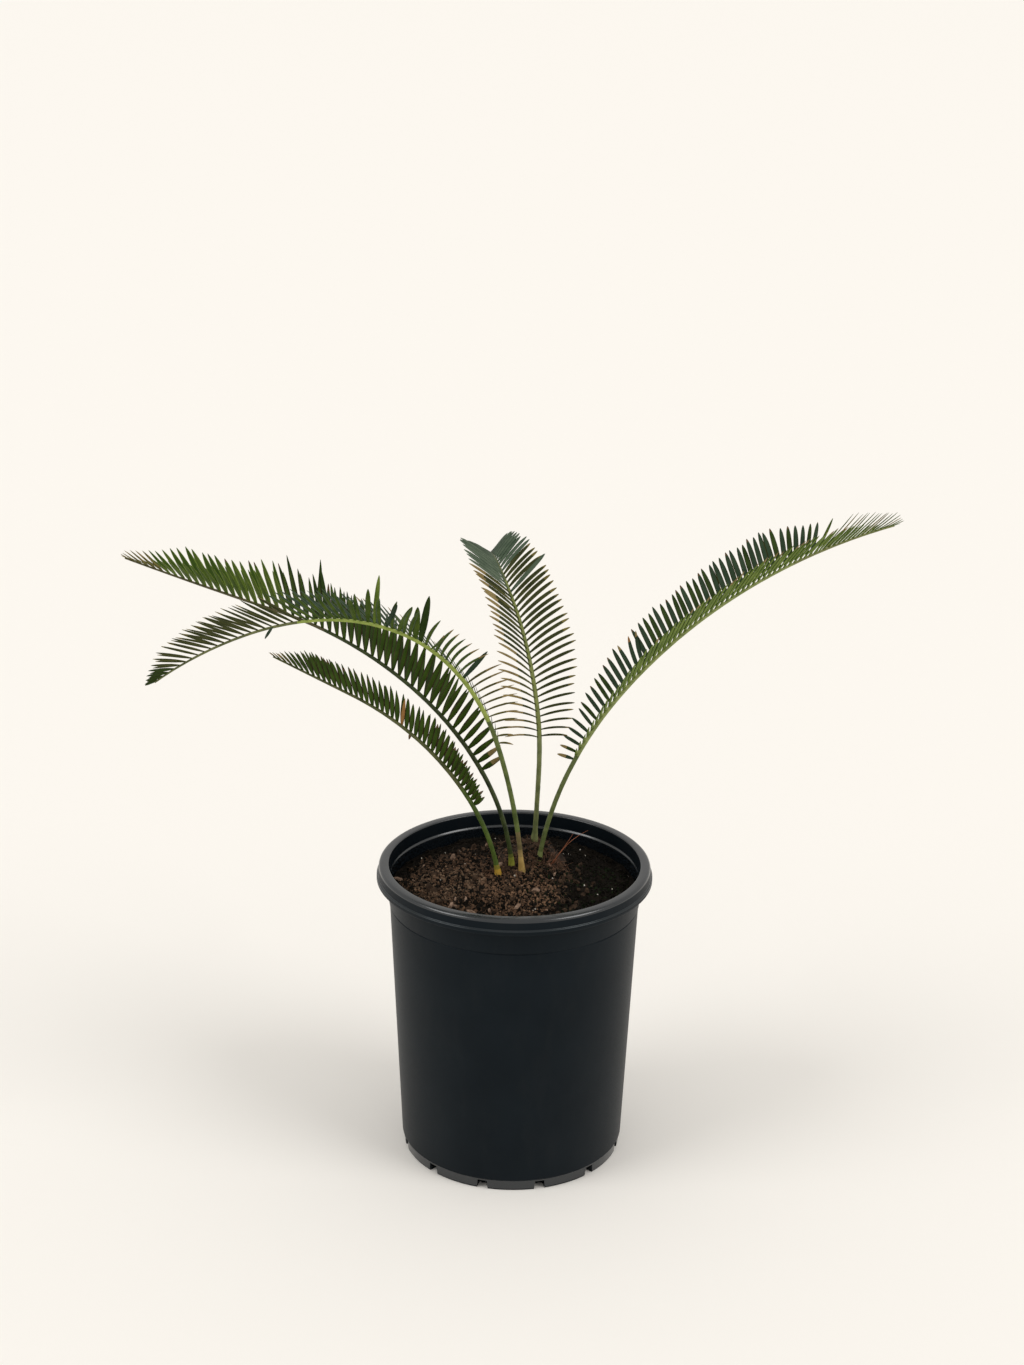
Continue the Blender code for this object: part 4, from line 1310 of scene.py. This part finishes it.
def fibres(starts, directions, lengths, radius):
    """Thin bars that bend down as the square of the way along them."""
    count = len(starts)
    share = np.linspace(0.0, 1.0, 6)[None, :, None, None]
    sideways = unit(np.cross(directions, rng.normal(size=(count, 3))))
    other = np.cross(directions, sideways)
    angle = np.linspace(0.0, math.tau, 4, endpoint=False)[None, None, :, None]
    length = lengths[:, None, None, None]
    curl = rng.uniform(-0.5, 0.5, size=(count, 1, 1, 1))
    centre = (
        starts[:, None, None]
        + directions[:, None, None] * share * length
        + sideways[:, None, None] * curl * share**2 * length
        + np.array([0.0, 0.0, -0.25]) * share**2 * length
    )
    thick = radius * (1 - 0.7 * share)
    ring = np.cos(angle) * sideways[:, None, None] + np.sin(angle) * other[:, None, None]
    return centre + ring * thick


def add_fibres(name, starts, lean_up, shortest, longest, radius, finish):
    directions = rng.normal(size=starts.shape)
    directions[:, 2] = np.abs(directions[:, 2]) * lean_up
    lengths = rng.uniform(shortest, longest, len(starts))
    rings = fibres(starts, unit(directions), lengths, radius)
    piece = new_piece(name, *closed_bars(rings), [finish])
    return piece


def fibre_finish(name, dark, light):
    return mottled_finish(name, dark, light, 0.006, 0.0008, (0.6, 0.9))


def around_feet(count, spread):
    """Places near the feet of the fronds, on the soil or the crown."""
    feet = np.array([frond["foot"] for frond in FRONDS.values()])
    spots = feet[rng.integers(len(feet), size=count)] + rng.normal(0, spread, (count, 3))
    spots[:, 2] = ground_height(spots) - 0.0008
    return spots


add_crown()
add_fibres("soil_fibres", soil_spots(1600, 0.72, (-0.022, -0.014)), 0.30, 0.003, 0.009, 0.00018,
           fibre_finish("soil fibre", (0.030, 0.018, 0.011), (0.190, 0.118, 0.074)))
add_fibres("soil_fibres_dark", soil_spots(700), 0.30, 0.003, 0.009, 0.00018,
           fibre_finish("dark soil fibre", (0.008, 0.007, 0.004), (0.050, 0.038, 0.024)))
add_fibres("crown_fibres", around_feet(620, 0.0060), 1.0, 0.003, 0.008, 0.00018,
           fibre_finish("crown fibre", (0.060, 0.030, 0.016), (0.220, 0.115, 0.065)))
TUFT_PLACE = (0.0290, 0.0100, 0.0)
tuft_spots = np.array(TUFT_PLACE) + rng.normal(0, 1, (170, 3)) * (0.0060, 0.0110, 0.0)
tuft_spots[:, 2] = ground_height(tuft_spots)
add_fibres("crown_tuft", tuft_spots, 1.0, 0.005, 0.012, 0.00022,
           fibre_finish("tuft fibre", (0.070, 0.030, 0.017), (0.260, 0.135, 0.082)))

# Dry strand: its foot, the way it rises, its length and its thickness
STRAND_FOOT = np.array([(0.031, 0.015, 0.240), (0.029, 0.013, 0.240)])
STRAND_RISE = np.array([(0.50, 0.10, 1.0), (0.60, 0.05, 0.8)])
STRAND_LENGTHS = np.array([0.044, 0.034])
strands = fibres(STRAND_FOOT, unit(STRAND_RISE), STRAND_LENGTHS, 0.00045)
new_piece("dry_strand", *closed_bars(strands),
                  [fibre_finish("dry strand", (0.150, 0.045, 0.020), (0.300, 0.110, 0.055))])

# %% [markdown]
# The studio is a plain pale floor under even light, so that nothing but the plant draws the
# eye. A pale world lights every side. Two broad suns, low on the right and on the left, each
# throw a soft shadow to the other side of the pot. Suns light a wide floor evenly, where
# nearby lamps would leave its far end dark.

# %% Floor and light
FLOOR_RADIUS = 14.0
FLOOR_PAINT = (0.905, 0.882, 0.846)
SUN_ANGLE = math.radians(32)


def add_floor():
    """A wide disc just under the pot, from a fan of points round a circle."""
    angle = np.linspace(0.0, math.tau, 96, endpoint=False)
    circle = np.stack([np.cos(angle), np.sin(angle), 0 * angle], -1) * FLOOR_RADIUS
    mesh = bpy.data.meshes.new("studio floor")
    mesh.from_pydata(circle.tolist(), [], [list(range(len(circle)))])
    paint = mottled_finish("studio floor paint", FLOOR_PAINT, FLOOR_PAINT, 0.5, 0.1, (0.9, 1.0))
    mesh.materials.append(paint)
    floor = bpy.data.objects.new("studio_floor", mesh)
    bpy.context.scene.collection.objects.link(floor)
    return floor


def add_sun(name, towards, strength):
    """A soft sun that shines from the given direction."""
    data = bpy.data.lights.new(name, "SUN")
    data.energy = strength
    data.angle = SUN_ANGLE
    data.color = (1.0, 0.99, 0.97)
    light = bpy.data.objects.new(name, data)
    light.rotation_euler = (-Vector(towards)).to_track_quat("-Z", "Y").to_euler()
    light.location = Vector(towards).normalized() * 2
    bpy.context.scene.collection.objects.link(light)


def add_world(strength):
    world = bpy.data.worlds.new("studio air")
    world.use_nodes = True
    background = world.node_tree.nodes["Background"]
    background.inputs["Color"].default_value = (1.0, 0.975, 0.935, 1.0)
    background.inputs["Strength"].default_value = strength
    bpy.context.scene.world = world


add_floor()
add_sun("right sun", (1.0, -0.55, 1.0), 0.95)
add_sun("left sun", (-1.0, -0.45, 0.9), 0.85)
add_world(0.72)
bpy.context.scene.view_settings.view_transform = "Standard"
